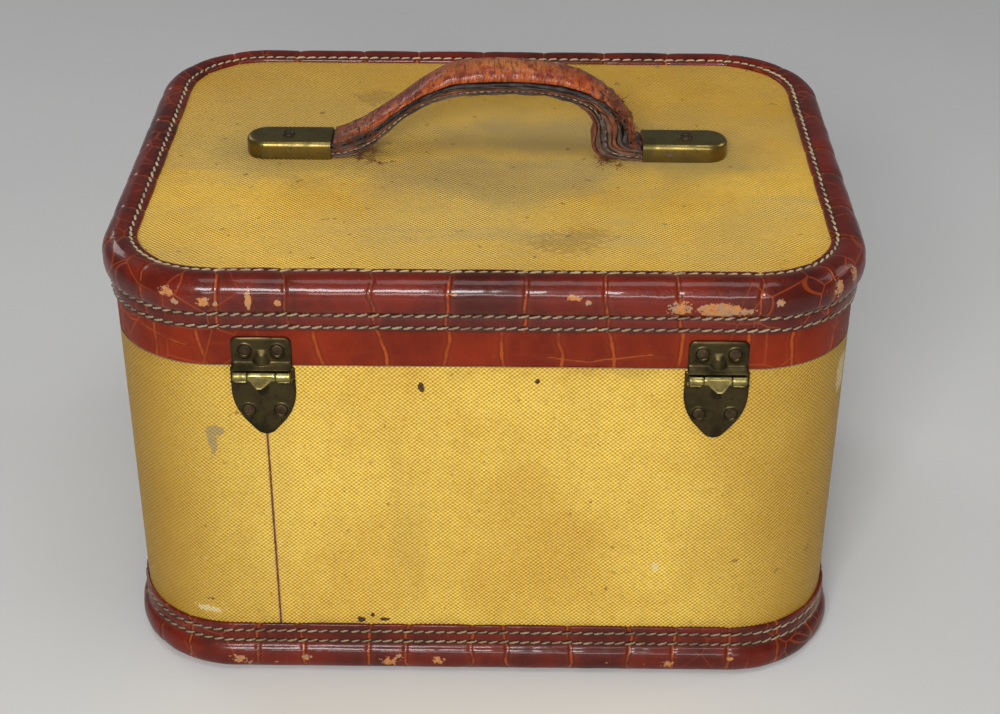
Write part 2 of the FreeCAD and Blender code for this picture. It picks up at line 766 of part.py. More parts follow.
# Hasp latches at the front. Each hasp swings from a lid leaf; the lug on its back drops
# into the open notch of a lock case, where a slide bolt can pass through the lug's eye.
latch_face = "0 - body_depth / 2"
for side, sign in (("left", "0 - 1"), ("right", "1")):
    at = f"( {sign} ) * latch_at"
    lid_leaf = new_body(f"latch_{side}_lid_leaf")
    plant(lid_leaf, at, latch_face, "latch_height", 180)
    leaf_outline = new_sketch(lid_leaf, "XZ_Plane")
    leaf_low = "latch_leaf_bottom - latch_height"
    leaf_high = "latch_leaf_top - latch_height"
    add_outline(leaf_outline, [
        ("0 - leaf_wide / 2", leaf_low, None),
        ("leaf_wide / 2", leaf_low, None),
        ("leaf_wide / 2", f"{leaf_high} - leaf_corner", "leaf_corner"),
        ("leaf_wide / 2 - leaf_corner", leaf_high, None),
        ("0 - leaf_wide / 2 + leaf_corner", leaf_high, "leaf_corner"),
        ("0 - leaf_wide / 2", f"{leaf_high} - leaf_corner", None),
    ])
    pad(lid_leaf, leaf_outline, "leaf_thick", back=True)
    add_knuckle(lid_leaf, "hinge_wide", [
        ("0", leaf_low, None),
        ("latch_stand - 1.4", "0 - barrel_radius / 2", None),
        ("latch_stand", "0", None),
        ("latch_stand", "barrel_radius - 0.1", None),
        ("leaf_thick", f"{leaf_low} + 5", None),
        ("0", f"{leaf_low} + 5", None),
    ], "latch_stand")
    split_knuckle(lid_leaf, "middle_knuckle", "latch_stand + barrel_radius + 1")
    add_bore(lid_leaf, "latch_stand", "hinge_wide", "0")
    add_rivet_holes(lid_leaf, "rivet_spacing", "latch_rivet_height - latch_height", "leaf_thick")
    make_pin(f"latch_{side}_pin", at, latch_face, "latch_height", "latch_stand", 180)

    hasp = new_body(f"latch_{side}_hasp")
    plant(hasp, at, latch_face, "latch_height", 180)
    knuckle = new_sketch(hasp, "YZ_Plane")
    add_circle(knuckle, "latch_stand", "0", "barrel_radius")
    pad(hasp, knuckle, "middle_knuckle - 2 * knuckle_gap", both=True)
    hasp_outline = new_sketch(hasp, "XZ_Plane", shift="0 - ( latch_stand - hasp_thick / 2 )")
    neck = "middle_knuckle / 2 - knuckle_gap"
    shoulder = "0 - barrel_radius - 0.6"
    hasp_low = "hasp_bottom - latch_height"
    add_outline(hasp_outline, [
        (f"0 - ( {neck} )", "0", None),
        (f"0 - ( {neck} )", shoulder, None),
        ("0 - hasp_wide / 2", f"{shoulder} - 2", None),
        ("0 - hasp_wide / 2", f"{hasp_low} + hasp_tip_radius", "hasp_tip_radius"),
        ("0", hasp_low, "hasp_tip_radius"),
        ("hasp_wide / 2", f"{hasp_low} + hasp_tip_radius", None),
        ("hasp_wide / 2", f"{shoulder} - 2", None),
        (neck, shoulder, None),
        (neck, "0", None),
    ])
    pad(hasp, hasp_outline, "hasp_thick", back=True)
    add_bore(hasp, "latch_stand", "middle_knuckle", "pin_slack")

    lug = new_body(f"latch_{side}_lug")
    plant(lug, at, latch_face, "latch_height", 180)
    lug_outline = new_sketch(lug, "YZ_Plane")
    lug_face = "latch_stand - hasp_thick / 2"
    add_box_outline(
        lug_outline, "lug_inner", lug_face, "lug_bottom - latch_height", "lug_top - latch_height")
    pad(lug, lug_outline, "lug_wide", both=True)
    eye = new_sketch(lug, "YZ_Plane")
    add_circle(eye, "bolt_out", "bolt_height - latch_height", "eye_radius")
    pocket(lug, eye, "lug_wide + 2", both=True)

    plate = new_body(f"latch_{side}_plate")
    plant(plate, at, latch_face, "latch_height", 180)
    plate_outline = new_sketch(plate, "XZ_Plane")
    plate_low = "plate_bottom - latch_height"
    plate_high = "plate_top - latch_height"
    add_outline(plate_outline, [
        ("0 - plate_wide / 2", f"{plate_low} + plate_corner", "plate_corner"),
        ("0 - plate_wide / 2 + plate_corner", plate_low, None),
        ("plate_wide / 2 - plate_corner", plate_low, "plate_corner"),
        ("plate_wide / 2", f"{plate_low} + plate_corner", None),
        ("plate_wide / 2", plate_high, None),
        ("0 - plate_wide / 2", plate_high, None),
    ])
    pad(plate, plate_outline, "leaf_thick", back=True)
    add_rivet_holes(plate, "plate_rivet_spacing", "plate_rivet_height - latch_height", "leaf_thick")

    case = new_body(f"latch_{side}_case")
    plant(case, at, latch_face, "latch_height", 180)
    case_outline = new_sketch(case, "XZ_Plane", shift="0 - leaf_thick")
    case_low = "case_bottom - latch_height"
    case_high = "case_top - latch_height"
    add_box_outline(case_outline, "0 - case_wide / 2", "case_wide / 2", case_low, case_high)
    pad(case, case_outline, "case_out - leaf_thick", back=True)
    notch = new_sketch(case, "XZ_Plane", shift="0 - case_out")
    add_box_outline(
        notch, "0 - notch_wide / 2", "notch_wide / 2",
        "notch_bottom - latch_height", f"{case_high} + 1")
    pocket(case, notch, "case_out - leaf_thick", back=True)
    bolt_way = new_sketch(case, "YZ_Plane", shift="0 - case_wide / 2 + 2")
    add_circle(bolt_way, "bolt_out", "bolt_height - latch_height", "bolt_radius + pin_slack")
    pocket(case, bolt_way, "case_wide", back=True)

    bolt = new_body(f"latch_{side}_bolt")
    plant(bolt, at, latch_face, "latch_height", 180)
    rod = new_sketch(bolt, "YZ_Plane", shift="bolt_start")
    add_circle(rod, "bolt_out", "bolt_height - latch_height", "bolt_radius")
    pad(bolt, rod, "bolt_end - bolt_start")
    knob = new_sketch(bolt, "YZ_Plane", shift="bolt_end")
    add_circle(knob, "bolt_out + 0.6", "bolt_height - latch_height", "knob_radius - 0.6")
    pad(bolt, knob, "knob_long")

    for half, spacing, stand_up in (
        ("lid", "rivet_spacing", "latch_rivet_height"),
        ("plate", "plate_rivet_spacing", "plate_rivet_height"),
    ):
        make_rivets(f"latch_{side}_{half}_rivets", {
            "head_radius": "rivet_head_radius", "head_high": "rivet_head_high",
            "shank": "rivet_shank_long",
            "places": [
                (f"{at} + ( {sense} ) * {spacing} / 2", f"{latch_face} - leaf_thick", stand_up)
                for sense in ("0 - 1", "1")
            ],
        }, FreeCAD.Rotation(FreeCAD.Vector(1, 0, 0), 90))

doc.recompute()
for item in doc.Objects:
    if any(word in item.State for word in ("Invalid", "Error")):
        raise RuntimeError(f"{item.Name} ({item.Label}) failed: {item.State}")
for piece in parts:
    if piece.Shape.isNull() or not piece.Shape.isValid():
        raise RuntimeError(f"{piece.Label} has no valid shape")

os.makedirs("parts", exist_ok=True)
for piece in parts:
    piece.Shape.exportStep(f"parts/{piece.Label}.step")
print(len(parts), "parts")
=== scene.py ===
import math
from functools import reduce

import bmesh
import bpy
import numpy as np
from mathutils import Matrix, Vector
from mathutils.geometry import convex_hull_2d


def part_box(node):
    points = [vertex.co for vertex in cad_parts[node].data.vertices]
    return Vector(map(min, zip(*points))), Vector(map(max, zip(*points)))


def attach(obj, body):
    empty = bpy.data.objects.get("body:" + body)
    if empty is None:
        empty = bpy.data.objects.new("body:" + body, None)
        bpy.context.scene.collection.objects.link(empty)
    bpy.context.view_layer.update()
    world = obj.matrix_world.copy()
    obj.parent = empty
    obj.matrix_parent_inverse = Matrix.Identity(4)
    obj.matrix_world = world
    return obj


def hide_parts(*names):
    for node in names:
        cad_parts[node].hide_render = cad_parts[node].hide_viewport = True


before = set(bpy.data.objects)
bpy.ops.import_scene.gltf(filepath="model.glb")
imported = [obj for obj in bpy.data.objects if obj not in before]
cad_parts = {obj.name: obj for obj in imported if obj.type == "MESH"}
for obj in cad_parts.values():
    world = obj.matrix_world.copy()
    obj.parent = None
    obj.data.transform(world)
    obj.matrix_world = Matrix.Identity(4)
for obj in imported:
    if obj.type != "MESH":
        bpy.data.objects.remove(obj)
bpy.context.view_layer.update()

# All lengths below are millimetres in the case's frame until a mesh is made.
MM = 0.001
HALF_X, HALF_Y, CORNER = 165, 127, 48
FLAT_X, FLAT_Y = HALF_X - CORNER, HALF_Y - CORNER
ARC = CORNER * math.pi / 2
SEAM_X = 95
ROUND = 4 * (FLAT_X + FLAT_Y + ARC)


def box(node):
    """A CAD node's lowest and highest corners in mm."""
    return np.array([list(corner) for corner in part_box(node)]) / MM


TOP = box("lid_cloth")[1, 2]
SPLIT = box("body_cloth")[1, 2]
# The plane of a pressed plate: its a and b directions, and the way its face looks.
UP, BACK, FRONT = (((1, 0, 0), (0, 1, 0), (0, 0, 1)), ((1, 0, 0), (0, 0, 1), (0, 1, 0)),
                   ((1, 0, 0), (0, 0, 1), (0, -1, 0)))
RIVET_HEAD, KNUCKLE, STRAP_HALF = 2.75, 2.25, 8.7


# Shapes

def ripple(seed, lump, *axes):
    """Smooth noise from -1 to 1, about lump mm across, at the points that axes give."""
    axes = np.broadcast_arrays(*[np.asarray(axis, float) / lump for axis in axes])
    cells = [np.floor(axis).astype(np.int64) for axis in axes]
    parts = [axis - cell for axis, cell in zip(axes, cells)]
    parts = [part * part * (3 - 2 * part) for part in parts]
    total = np.zeros(axes[0].shape)
    for corner in range(2 ** len(axes)):
        code = np.full(axes[0].shape, seed * 7919 + 17, np.int64)
        weight = np.ones(axes[0].shape)
        for index, (cell, part) in enumerate(zip(cells, parts)):
            bit = corner >> index & 1
            code = code * 31337 + (cell + bit) * (73856093, 19349663, 83492791)[index]
            code = (code ^ code >> 15) & 0x7FFFFFFF
            weight = weight * (part if bit else 1 - part)
        code = code * 1103515245 + 12345 & 0x7FFFFFFF
        total += weight * ((code >> 8 & 0xFFFF) / 32767.5 - 1)
    return total


def lengths_along(points):
    """How far along a line each of its points lies."""
    return np.append(0, np.cumsum(np.linalg.norm(np.diff(points, axis=0), axis=1)))


def smooth_line(points, step):
    """A Catmull-Rom curve through points, sampled about every step mm."""
    points = np.array(points, float)
    padded = np.vstack([2 * points[0] - points[1], points, 2 * points[-1] - points[-2]])
    made = []
    for a, b, c, e in zip(padded, padded[1:], padded[2:], padded[3:]):
        count = max(2, int(np.linalg.norm(c - b) / step))
        t = np.arange(count)[:, None] / count
        made.append(0.5 * (2 * b + (c - a) * t + (2 * a - 5 * b + 4 * c - e) * t ** 2
                           + (3 * b - a - 3 * c + e) * t ** 3))
    return np.vstack(made + [points[-1:]])


def outline(s):
    """Points and outward directions of the case's outline, s mm left to right from the seam."""
    s = (np.asarray(s, float) - FLAT_X - SEAM_X) % ROUND
    point, normal = np.zeros(s.shape + (2,)), np.zeros(s.shape + (2,))
    start = 0
    # Each run is a corner and the flat side after it.
    for side_x, side_y, turn, flat in ((-1, 1, 90, FLAT_Y), (-1, -1, 180, FLAT_X),
                                       (1, -1, 270, FLAT_Y), (1, 1, 0, FLAT_X)):
        here = s >= start
        along = s[here] - start
        angle = math.radians(turn) + np.minimum(along, ARC) / CORNER
        way = np.stack([np.cos(angle), np.sin(angle)], axis=1)
        past = np.maximum(along - ARC, 0)[:, None] * np.stack([-way[:, 1], way[:, 0]], axis=1)
        normal[here] = way
        point[here] = np.array((side_x * FLAT_X, side_y * FLAT_Y)) + CORNER * way + past
        start += ARC + 2 * flat
    return point, normal


def steps_round(step):
    """Even places round the whole outline."""
    return np.linspace(0, ROUND, round(ROUND / step) + 1)[:-1]


def circle(count):
    """Even turns round a circle."""
    return np.arange(count) * 2 * math.pi / count


def add_mesh(name, points, faces, paint, uv=None, values=None):
    """A smooth mesh object from points in mm, with uv per face corner and values per point."""
    mesh = bpy.data.meshes.new(name)
    mesh.from_pydata((np.asarray(points) * MM).tolist(), [], [list(face) for face in faces])
    mesh.shade_smooth()
    if uv is not None:
        layer = mesh.uv_layers.new(name="Cut")
        layer.data.foreach_set("uv", np.asarray(uv, np.float32).ravel())
    for key, value in (values or {}).items():
        attribute = mesh.attributes.new(key, "FLOAT", "POINT")
        attribute.data.foreach_set("value", np.asarray(value, np.float32).ravel())
    mesh.update()
    return add_object(name, mesh, paint)


def add_object(name, data, paint=None):
    """A new object in the scene."""
    obj = bpy.data.objects.new(name, data)
    bpy.context.scene.collection.objects.link(obj)
    if paint:
        data.materials.clear()
        data.materials.append(paint)
    return obj


def grid_faces(rows, columns, closed):
    """Quads of a grid whose columns run upwards, and the same quads in an unwrapped grid."""
    i, j = np.meshgrid(np.arange(rows if closed else rows - 1), np.arange(columns - 1),
                       indexing="ij")
    i, j = i.ravel() * columns, j.ravel()
    after = (i + columns) % (rows * columns)
    return (np.stack([i + j, after + j, after + j + 1, i + j + 1], axis=1),
            np.stack([i + j, i + columns + j, i + columns + j + 1, i + j + 1], axis=1))


def tube_faces(rings, sides, first=0, turned=False):
    """Quads round a tube whose rings have the same number of sides."""
    faces = []
    for start in range(first, first + (rings - 1) * sides, sides):
        for k in range(sides):
            a, b = start + k, start + (k + 1) % sides
            faces.append((a, a + sides, b + sides, b) if turned else (a, b, b + sides, a + sides))
    return faces


def add_tubes(name, tubes, paint):
    """A mesh of open tubes, each an array of rings of points."""
    rings, sides = tubes[0].shape[:2]
    faces = [face for number in range(len(tubes))
             for face in tube_faces(rings, sides, number * rings * sides)]
    return add_mesh(name, np.concatenate(tubes).reshape(-1, 3), faces, paint)


def sweep(name, profile, stations, paint, relief=None, closed=True, values=None):
    """A strip that follows the case's outline.

    profile is (out, up) points, the outside on their right; relief(s, t, x, y, z) moves the
    face outwards; values gives colours' point values from the same arguments.
    """
    point, normal = outline(stations)
    profile = np.asarray(profile, float)
    t = lengths_along(profile)
    slope = np.gradient(profile, axis=0)
    slope /= np.linalg.norm(slope, axis=1)[:, None]
    out = np.repeat(profile[None, :, 0], len(stations), axis=0)
    up = np.repeat(profile[None, :, 1], len(stations), axis=0)
    x = point[:, :1] + normal[:, :1] * out
    y = point[:, 1:] + normal[:, 1:] * out
    where = (np.asarray(stations)[:, None], t[None, :], x, y, up)
    if relief:
        rise = relief(*where)
        out = out + rise * slope[None, :, 1]
        up = up - rise * slope[None, :, 0]
    points = np.stack([point[:, :1] + normal[:, :1] * out, point[:, 1:] + normal[:, 1:] * out,
                       up], axis=2)
    faces, flat = grid_faces(len(stations), len(profile), closed)
    around = np.append(stations, ROUND) if closed else np.asarray(stations)
    uv = np.stack(np.meshgrid(around, t, indexing="ij"), axis=2).reshape(-1, 2)
    found = {key: value(*where) for key, value in (values or {}).items()}
    return add_mesh(name, points.reshape(-1, 3), faces, paint, uv[flat], found)


def panel(name, inset, height, paint, lumps=0.12, down=False):
    """A flat sheet inside the case's outline, drawn in by inset."""
    half_x, half_y, round_by = HALF_X - inset, HALF_Y - inset, max(CORNER - inset, 3)
    bend = np.sin(np.linspace(0, math.pi / 2, 16)) * round_by + half_x - round_by
    middle = np.linspace(-(half_x - round_by), half_x - round_by, 64)
    x = np.concatenate([-bend[:0:-1], middle, bend[1:]])
    past = np.clip(np.abs(x) - (half_x - round_by), 0, round_by)
    reach = half_y - round_by + np.sqrt(round_by ** 2 - past ** 2)
    across = np.linspace(-1, 1, 56)
    xs = np.repeat(x[:, None], len(across), axis=1)
    ys = reach[:, None] * across[None, :]
    zs = height + lumps * ripple(5, 45, xs, ys) * (1 - np.abs(across) ** 8)[None, :]
    faces, flat = grid_faces(len(x), len(across), False)
    if down:
        faces, flat = faces[:, ::-1], flat[:, ::-1]
    points = np.stack([xs, ys, zs], axis=2).reshape(-1, 3)
    return add_mesh(name, points, faces, paint, points[flat][..., :2])


def crossings(seed, first, pitch, spread):
    """Places of creases round the outline, about pitch mm apart."""
    count = round(ROUND / pitch)
    steps = first + np.arange(count) * ROUND / count
    return steps + spread * np.random.default_rng(seed).uniform(-1, 1, count)


def crease_gap(places, seed, lean, wobble):
    """How far a point of a strip is from the nearest crease across it."""
    slants = np.random.default_rng(seed).uniform(-lean, lean, len(places))

    def gap(s, t, *rest):
        best = np.full(np.broadcast(s, t).shape, 1e3)
        for index, (place, slant) in enumerate(zip(places, slants)):
            line = place + slant * t + wobble * ripple(seed + index, 7, t)
            away = np.abs((s - line + ROUND / 2) % ROUND - ROUND / 2)
            best = np.minimum(best, away)
        return best
    return gap


def place_piece(obj, body, slot, *nodes):
    """The piece rides on a body and stands for CAD nodes, which it hides; slot is not used."""
    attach(obj, body)
    if nodes:
        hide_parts(*nodes)
    return obj


def rounded_copy(node, name, wide, paint, body, slot, steps=2):
    """A CAD node's shape with its sharp edges rounded by wide mm."""
    mesh = bpy.data.meshes.new(name)
    work = bmesh.new()
    work.from_mesh(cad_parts[node].data)
    bmesh.ops.remove_doubles(work, verts=work.verts, dist=1e-5)
    bmesh.ops.dissolve_limit(
        work, angle_limit=math.radians(2), verts=work.verts, edges=work.edges)
    work.to_mesh(mesh)
    work.free()
    draft = add_object(name + "_draft", mesh)
    bevel = draft.modifiers.new("round", "BEVEL")
    bevel.width = wide * MM
    bevel.segments = steps
    bevel.limit_method = "ANGLE"
    bevel.angle_limit = math.radians(38)
    graph = bpy.context.evaluated_depsgraph_get()
    made = bpy.data.meshes.new_from_object(draft.evaluated_get(graph), depsgraph=graph)
    bpy.data.objects.remove(draft)
    made.name = name
    made.shade_smooth()
    made.set_sharp_from_angle(angle=math.radians(40))
    return place_piece(add_object(name, made, paint), body, slot, node)


def rim_of(node, keep, grow):
    """The convex outline in x and z, in mm, of the node's vertices that keep accepts."""
    spots = [vertex.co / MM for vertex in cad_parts[node].data.vertices]
    flat = [Vector((spot.x, spot.z)) for spot in spots if keep(spot)]
    hull = np.array([flat[index] for index in convex_hull_2d(flat)])
    hull = np.vstack([hull, hull[:1]])
    lengths = lengths_along(hull)
    even = np.linspace(0, lengths[-1], 121)[:-1]
    rim = np.stack([np.interp(even, lengths, hull[:, k]) for k in range(2)], axis=1)
    away = rim - (rim.max(axis=0) + rim.min(axis=0)) / 2
    return rim + grow * away / np.linalg.norm(away, axis=1)[:, None]


def pressed_plate(name, rim, origin, axes, height, paint, rings=22):
    """A pressed plate: rim is its outline, and height(a, b, edge) its face above the back."""
    middle = (rim.max(axis=0) + rim.min(axis=0)) / 2
    share = np.sin(np.linspace(0, math.pi / 2, rings + 1)[1:])
    a, b = (middle[k] + share[:, None] * (rim[:, k] - middle[k])[None, :] for k in range(2))
    edge = (1 - share)[:, None] * np.linalg.norm(rim - middle, axis=1)[None, :]
    rise = height(a, b, edge)
    centre_rise = height(middle[0], middle[1], np.array(30.0))
    a, b = np.vstack([a, rim[None, :, 0]]), np.vstack([b, rim[None, :, 1]])
    rise = np.vstack([rise, np.zeros((1, len(rim)))])
    origin, first, second, out = (np.array(axis, float) for axis in (origin, *axes))
    points = (origin + a[..., None] * first + b[..., None] * second
              + rise[..., None] * out).reshape(-1, 3)
    centre = origin + middle[0] * first + middle[1] * second + centre_rise * out
    count, hub, after = len(rim), len(points), np.roll(rim, -1, axis=0)
    area = (rim[:, 0] * after[:, 1] - after[:, 0] * rim[:, 1]).sum()
    faces = tube_faces(rings + 1, count, turned=True)
    faces += [(hub, k, (k + 1) % count) for k in range(count)]
    if np.cross(first, second) @ out * area <= 0:
        faces = [face[::-1] for face in faces]
    return add_mesh(name, np.vstack([points, centre]), faces, paint)


# Finishes

def tone(*levels):
    """A colour from 0 to 255 values as linear light."""
    levels = [level / 255 for level in levels]
    return [v / 12.92 if v <= 0.04045 else ((v + 0.055) / 1.055) ** 2.4 for v in levels]


class Field:
    """A number or colour that varies over a surface. Arithmetic with it adds nodes."""

    def __init__(self, paint, socket):
        self.paint, self.socket = paint, socket

    def act(self, operation, other=0.0, clamp=False):
        return self.paint.add("Math", {0: self, 1: other}, operation=operation, use_clamp=clamp)

    def __add__(self, other):
        return self.act("ADD", other)

    def __sub__(self, other):
        return self.act("SUBTRACT", other)

    def __mul__(self, other):
        return self.act("MULTIPLY", other)

    def __truediv__(self, other):
        return self.act("DIVIDE", other)

    def wave(self, kind, length, shift=0.0):
        turns = self * (2 * math.pi / length)
        return (turns + shift if shift else turns).act(kind)

    def ramp(self, low, high, top=1.0, bottom=0.0):
        return self.paint.add("MapRange", {0: self, 1: low, 2: high, 3: bottom, 4: top},
                              interpolation_type="SMOOTHSTEP")


class Paint:
    """One material's nodes. Tints cover its first colour one after another."""

    def __init__(self, name, colour, **sockets):
        self.material = bpy.data.materials.new(name)
        self.material.use_nodes = True
        self.tree = self.material.node_tree
        self.shader = self.tree.nodes["Principled BSDF"]
        self.colour = colour
        for key, value in sockets.items():
            self.put(self.shader.inputs[key.replace("_", " ")], value)

    def put(self, socket, value):
        if isinstance(value, Field):
            self.tree.links.new(value.socket, socket)
        elif socket.type == "RGBA":
            socket.default_value = (*(tone(*value) if max(value) > 1 else value), 1)
        else:
            socket.default_value = value

    def add(self, kind, inputs, output=0, **settings):
        node = self.tree.nodes.new("ShaderNode" + kind)
        for key, value in settings.items():
            setattr(node, key, value)
        for key, value in inputs.items():
            self.put(node.inputs[key], value)
        return Field(self, node.outputs[output])

    def place(self):
        return self.add("TexCoord", {}, "Object")

    def axis(self, number):
        return self.add("SeparateXYZ", {0: self.place()}, number)

    def cut(self):
        """The two directions of the flat cut, in mm."""
        both = self.add("UVMap", {}, uv_map="Cut")
        return [self.add("SeparateXYZ", {0: both}, number) for number in (0, 1)]

    def cut_point(self, along, across):
        u, v = self.cut()
        return self.add("CombineXYZ", {0: u * along, 1: v * across})

    def value(self, name):
        return self.add("Attribute", {}, "Fac", attribute_name=name)

    def noise(self, scale, detail=4.0, rough=0.5, stretch=(1, 1, 1), shift=(0, 0, 0)):
        moved = self.add("Mapping", {"Vector": self.place(), "Scale": stretch, "Location": shift})
        return self.add("TexNoise", {"Vector": moved, "Scale": scale, "Detail": detail,
                                     "Roughness": rough})

    def cells(self, scale, where=None):
        """How far a point is from the borders of scattered cells."""
        return self.add("TexVoronoi", {"Vector": where or self.place(), "Scale": scale},
                        feature="DISTANCE_TO_EDGE")

    def mix(self, share, a, b):
        return self.add("Mix", {0: share, 6: a, 7: b}, 2, data_type="RGBA")

    def tint(self, share, colour):
        self.colour = self.mix(share, self.colour, colour)

    def cloud(self, colour, low, high, top, *noise, **more):
        """Covers the colour where a noise is high."""
        self.tint(self.noise(*noise, **more).ramp(low, high, top), colour)

    def spot(self, x, y, z, radius, ragged=0.8, scale=500.0, stretch=(1, 1, 1), soft=0.08):
        """1 inside a torn blot round a place in mm, and 0 outside it."""
        away = self.add("VectorMath", {0: self.place(), 1: (x * MM, y * MM, z * MM)},
                        operation="SUBTRACT")
        away = self.add("VectorMath", {0: away, 1: stretch}, operation="MULTIPLY")
        share = self.add("VectorMath", {0: away}, "Value", operation="LENGTH") / (radius * MM)
        torn = (self.noise(scale, 6.0, 0.65) - 0.5) * (ragged * 3.0)
        return (share + torn).ramp(1 + soft, 1 - soft)

    def spots(self, *rows):
        return reduce(lambda a, b: a.act("MAXIMUM", b), [self.spot(*row) for row in rows])

    def blots(self, colour, share, *rows):
        self.tint(self.spots(*rows) * share, colour)

    def bump(self, height, strength, distance):
        return self.add("Bump", {"Height": height, "Strength": strength,
                                 "Distance": distance * MM})

    def finish(self, normal=None, roughness=None):
        for name, value in (("Base Color", self.colour), ("Normal", normal),
                            ("Roughness", roughness)):
            if value is not None:
                self.put(self.shader.inputs[name], value)
        return self.material


def cloth_paint(name, grain, ochre, gap, marks):
    """Coarse lacquered canvas, with painted highlight and shade in its weave. marks adds its
    stains and other tints.
    """
    paint = Paint(name, grain, Roughness=0.5, Specular_IOR_Level=0.3)
    u, v = paint.cut()
    drift = (paint.noise(22, 2) - 0.5) * 2.4
    lattice = (u + drift).wave("COSINE", 2.2) * (v + drift).wave("COSINE", 2.0)
    tangle = lattice + (paint.noise(650, 4, 0.7) - 0.5) * 1.7
    paint.cloud(ochre, 0.35, 0.7, 1, 14, 5, 0.6)
    paint.cloud(ochre, 0.45, 0.75, 0.35, 160, 3, 0.6, shift=(3, 1, 2))
    # Painted highlight: a paler tint on the raised threads of the weave.
    paint.tint(tangle.ramp(-0.15, -0.95, 0.4), (255, 226, 132))
    # Painted shade: the gap colour darkens the sunken gaps between the threads.
    paint.tint(tangle.ramp(-0.25, 1.1, 0.75), gap)
    marks(paint)
    return paint.finish(paint.bump(tangle * -1.0, 0.7, 0.5))


def body_marks(paint):
    """Stains, smudges and chips of the case's cloth, and painted shade on its sides and seam."""
    # Darker in ragged bands along the bottom and the top of the cloth.
    edges = paint.axis(2).ramp(0.034, 0.022, 0.5).act(
        "MAXIMUM", paint.axis(2).ramp(0.160, 0.168, 0.35))
    paint.tint(edges * paint.noise(45, 6, 0.7).ramp(0.35, 0.7), (118, 84, 36))
    paint.cloud((150, 112, 52), 0.5, 0.8, 0.22, 30, 6, 0.65, (1, 1, 0.18), (5, 2, 7))
    # Painted shade: the cloth turns a deeper ochre towards the case's left and right sides.
    paint.tint(paint.axis(0).act("ABSOLUTE").ramp(0.080, 0.160, 0.72), (146, 104, 18))
    paint.cloud((120, 78, 32), 0.71, 0.77, 0.6, 240, 2, shift=(9, 4, 1))
    paint.blots((140, 122, 86), 0.7,
        (118, HALF_Y, 134, 4.2, 0.6, 260, (1, 1, 1.6)),
        (119.5, HALF_Y, 127.5, 3.4, 0.7, 260, (1.5, 1, 0.6)))
    paint.blots((216, 200, 152), 0.65,
        (-79.8, HALF_Y, 60.6, 2.0, 0.9, 600, (1.2, 1, 0.8)),
        (130, HALF_Y, 32.5, 4.0, 1.2, 500, (0.5, 1, 2.4)),
        (128, HALF_Y, 62, 1.4, 1.0, 600),
        (-161.5, 99, 150, 5.5, 0.8, 300, (1, 1, 0.55)))
    paint.blots((72, 46, 22), 1,
        (26.5, HALF_Y, 157.8, 2.1, 0.6, 500, (1.5, 1, 0.75)),
        (134.5, HALF_Y, 58.5, 1.8, 0.8),
        (128.1, HALF_Y, 38.5, 1.6, 0.6, 400, (0.5, 1, 1.6)),
        (56.8, HALF_Y, 28, 1.4, 1.1, 500, (0.8, 1, 1.0)),
        (51.5, HALF_Y, 31, 1.1, 1.1, 500),
        (46, HALF_Y, 28, 1.2, 1.1, 500, (0.6, 1, 1.3)),
        (-24, HALF_Y, 161, 1.2, 0.5),
        (-62, -HALF_Y, 92, 2.0, 0.6), (110, -HALF_Y, 48, 1.8, 0.6))
    u = paint.cut()[0]
    seam = u.act("MINIMUM", u * -1.0 + ROUND)
    ragged = paint.noise(420, 3, 0.7) * 2.2
    paint.tint((seam + ragged).ramp(2.9, 1.5, 0.45), (190, 140, 96))
    # Painted shade: a thin dark line where the cloth's ends meet, for the shadow in the seam's
    # gap.
    paint.tint((seam + ragged * 0.3).ramp(1.0, 0.55), (88, 44, 16))


def top_marks(paint):
    """Fading, rubbed patches and stains of the lid's cloth, and a darker tone towards its front
    edge.
    """
    paint.cloud((204, 172, 92), 0.40, 0.66, 0.62, 11, 6, 0.62, (0.7, 1, 1), (4, 1, 3))
    paint.cloud((176, 158, 112), 0.5, 0.75, 0.4, 26, 5, 0.7, (0.25, 1.6, 1), (8, 3, 3))
    # Darker from the hinge side towards the front edge of the top.
    paint.tint(paint.axis(1).ramp(0.07, -0.12, 0.5), (176, 130, 36))
    paint.blots((148, 132, 92), 0.5,
        (4, 26, TOP, 40, 0.7, 38, (0.62, 1.8, 1), 0.6),
        (-30, -26, TOP, 30, 0.7, 50, (0.7, 1.6, 1), 0.6))
    paint.blots((150, 132, 82), 0.45,
        (94, -4.5, TOP, 32, 0.6, 60, (0.9, 1.35, 1), 0.6),
        (-94, -4.5, TOP, 32, 0.6, 60, (0.9, 1.35, 1), 0.6))
    paint.blots((120, 84, 36), 0.34,
        (-36, 88, TOP, 12, 1.4, 330, (0.8, 1.3, 1), 0.5),
        (-46, 80, TOP, 9, 1.4, 330, (0.9, 1.3, 1), 0.5),
        (58, -70, TOP, 9, 1.4, 330, (1, 1, 1), 0.5))
    paint.cloud((108, 80, 40), 0.69, 0.76, 0.6, 190, 2, shift=(2, 7, 4))


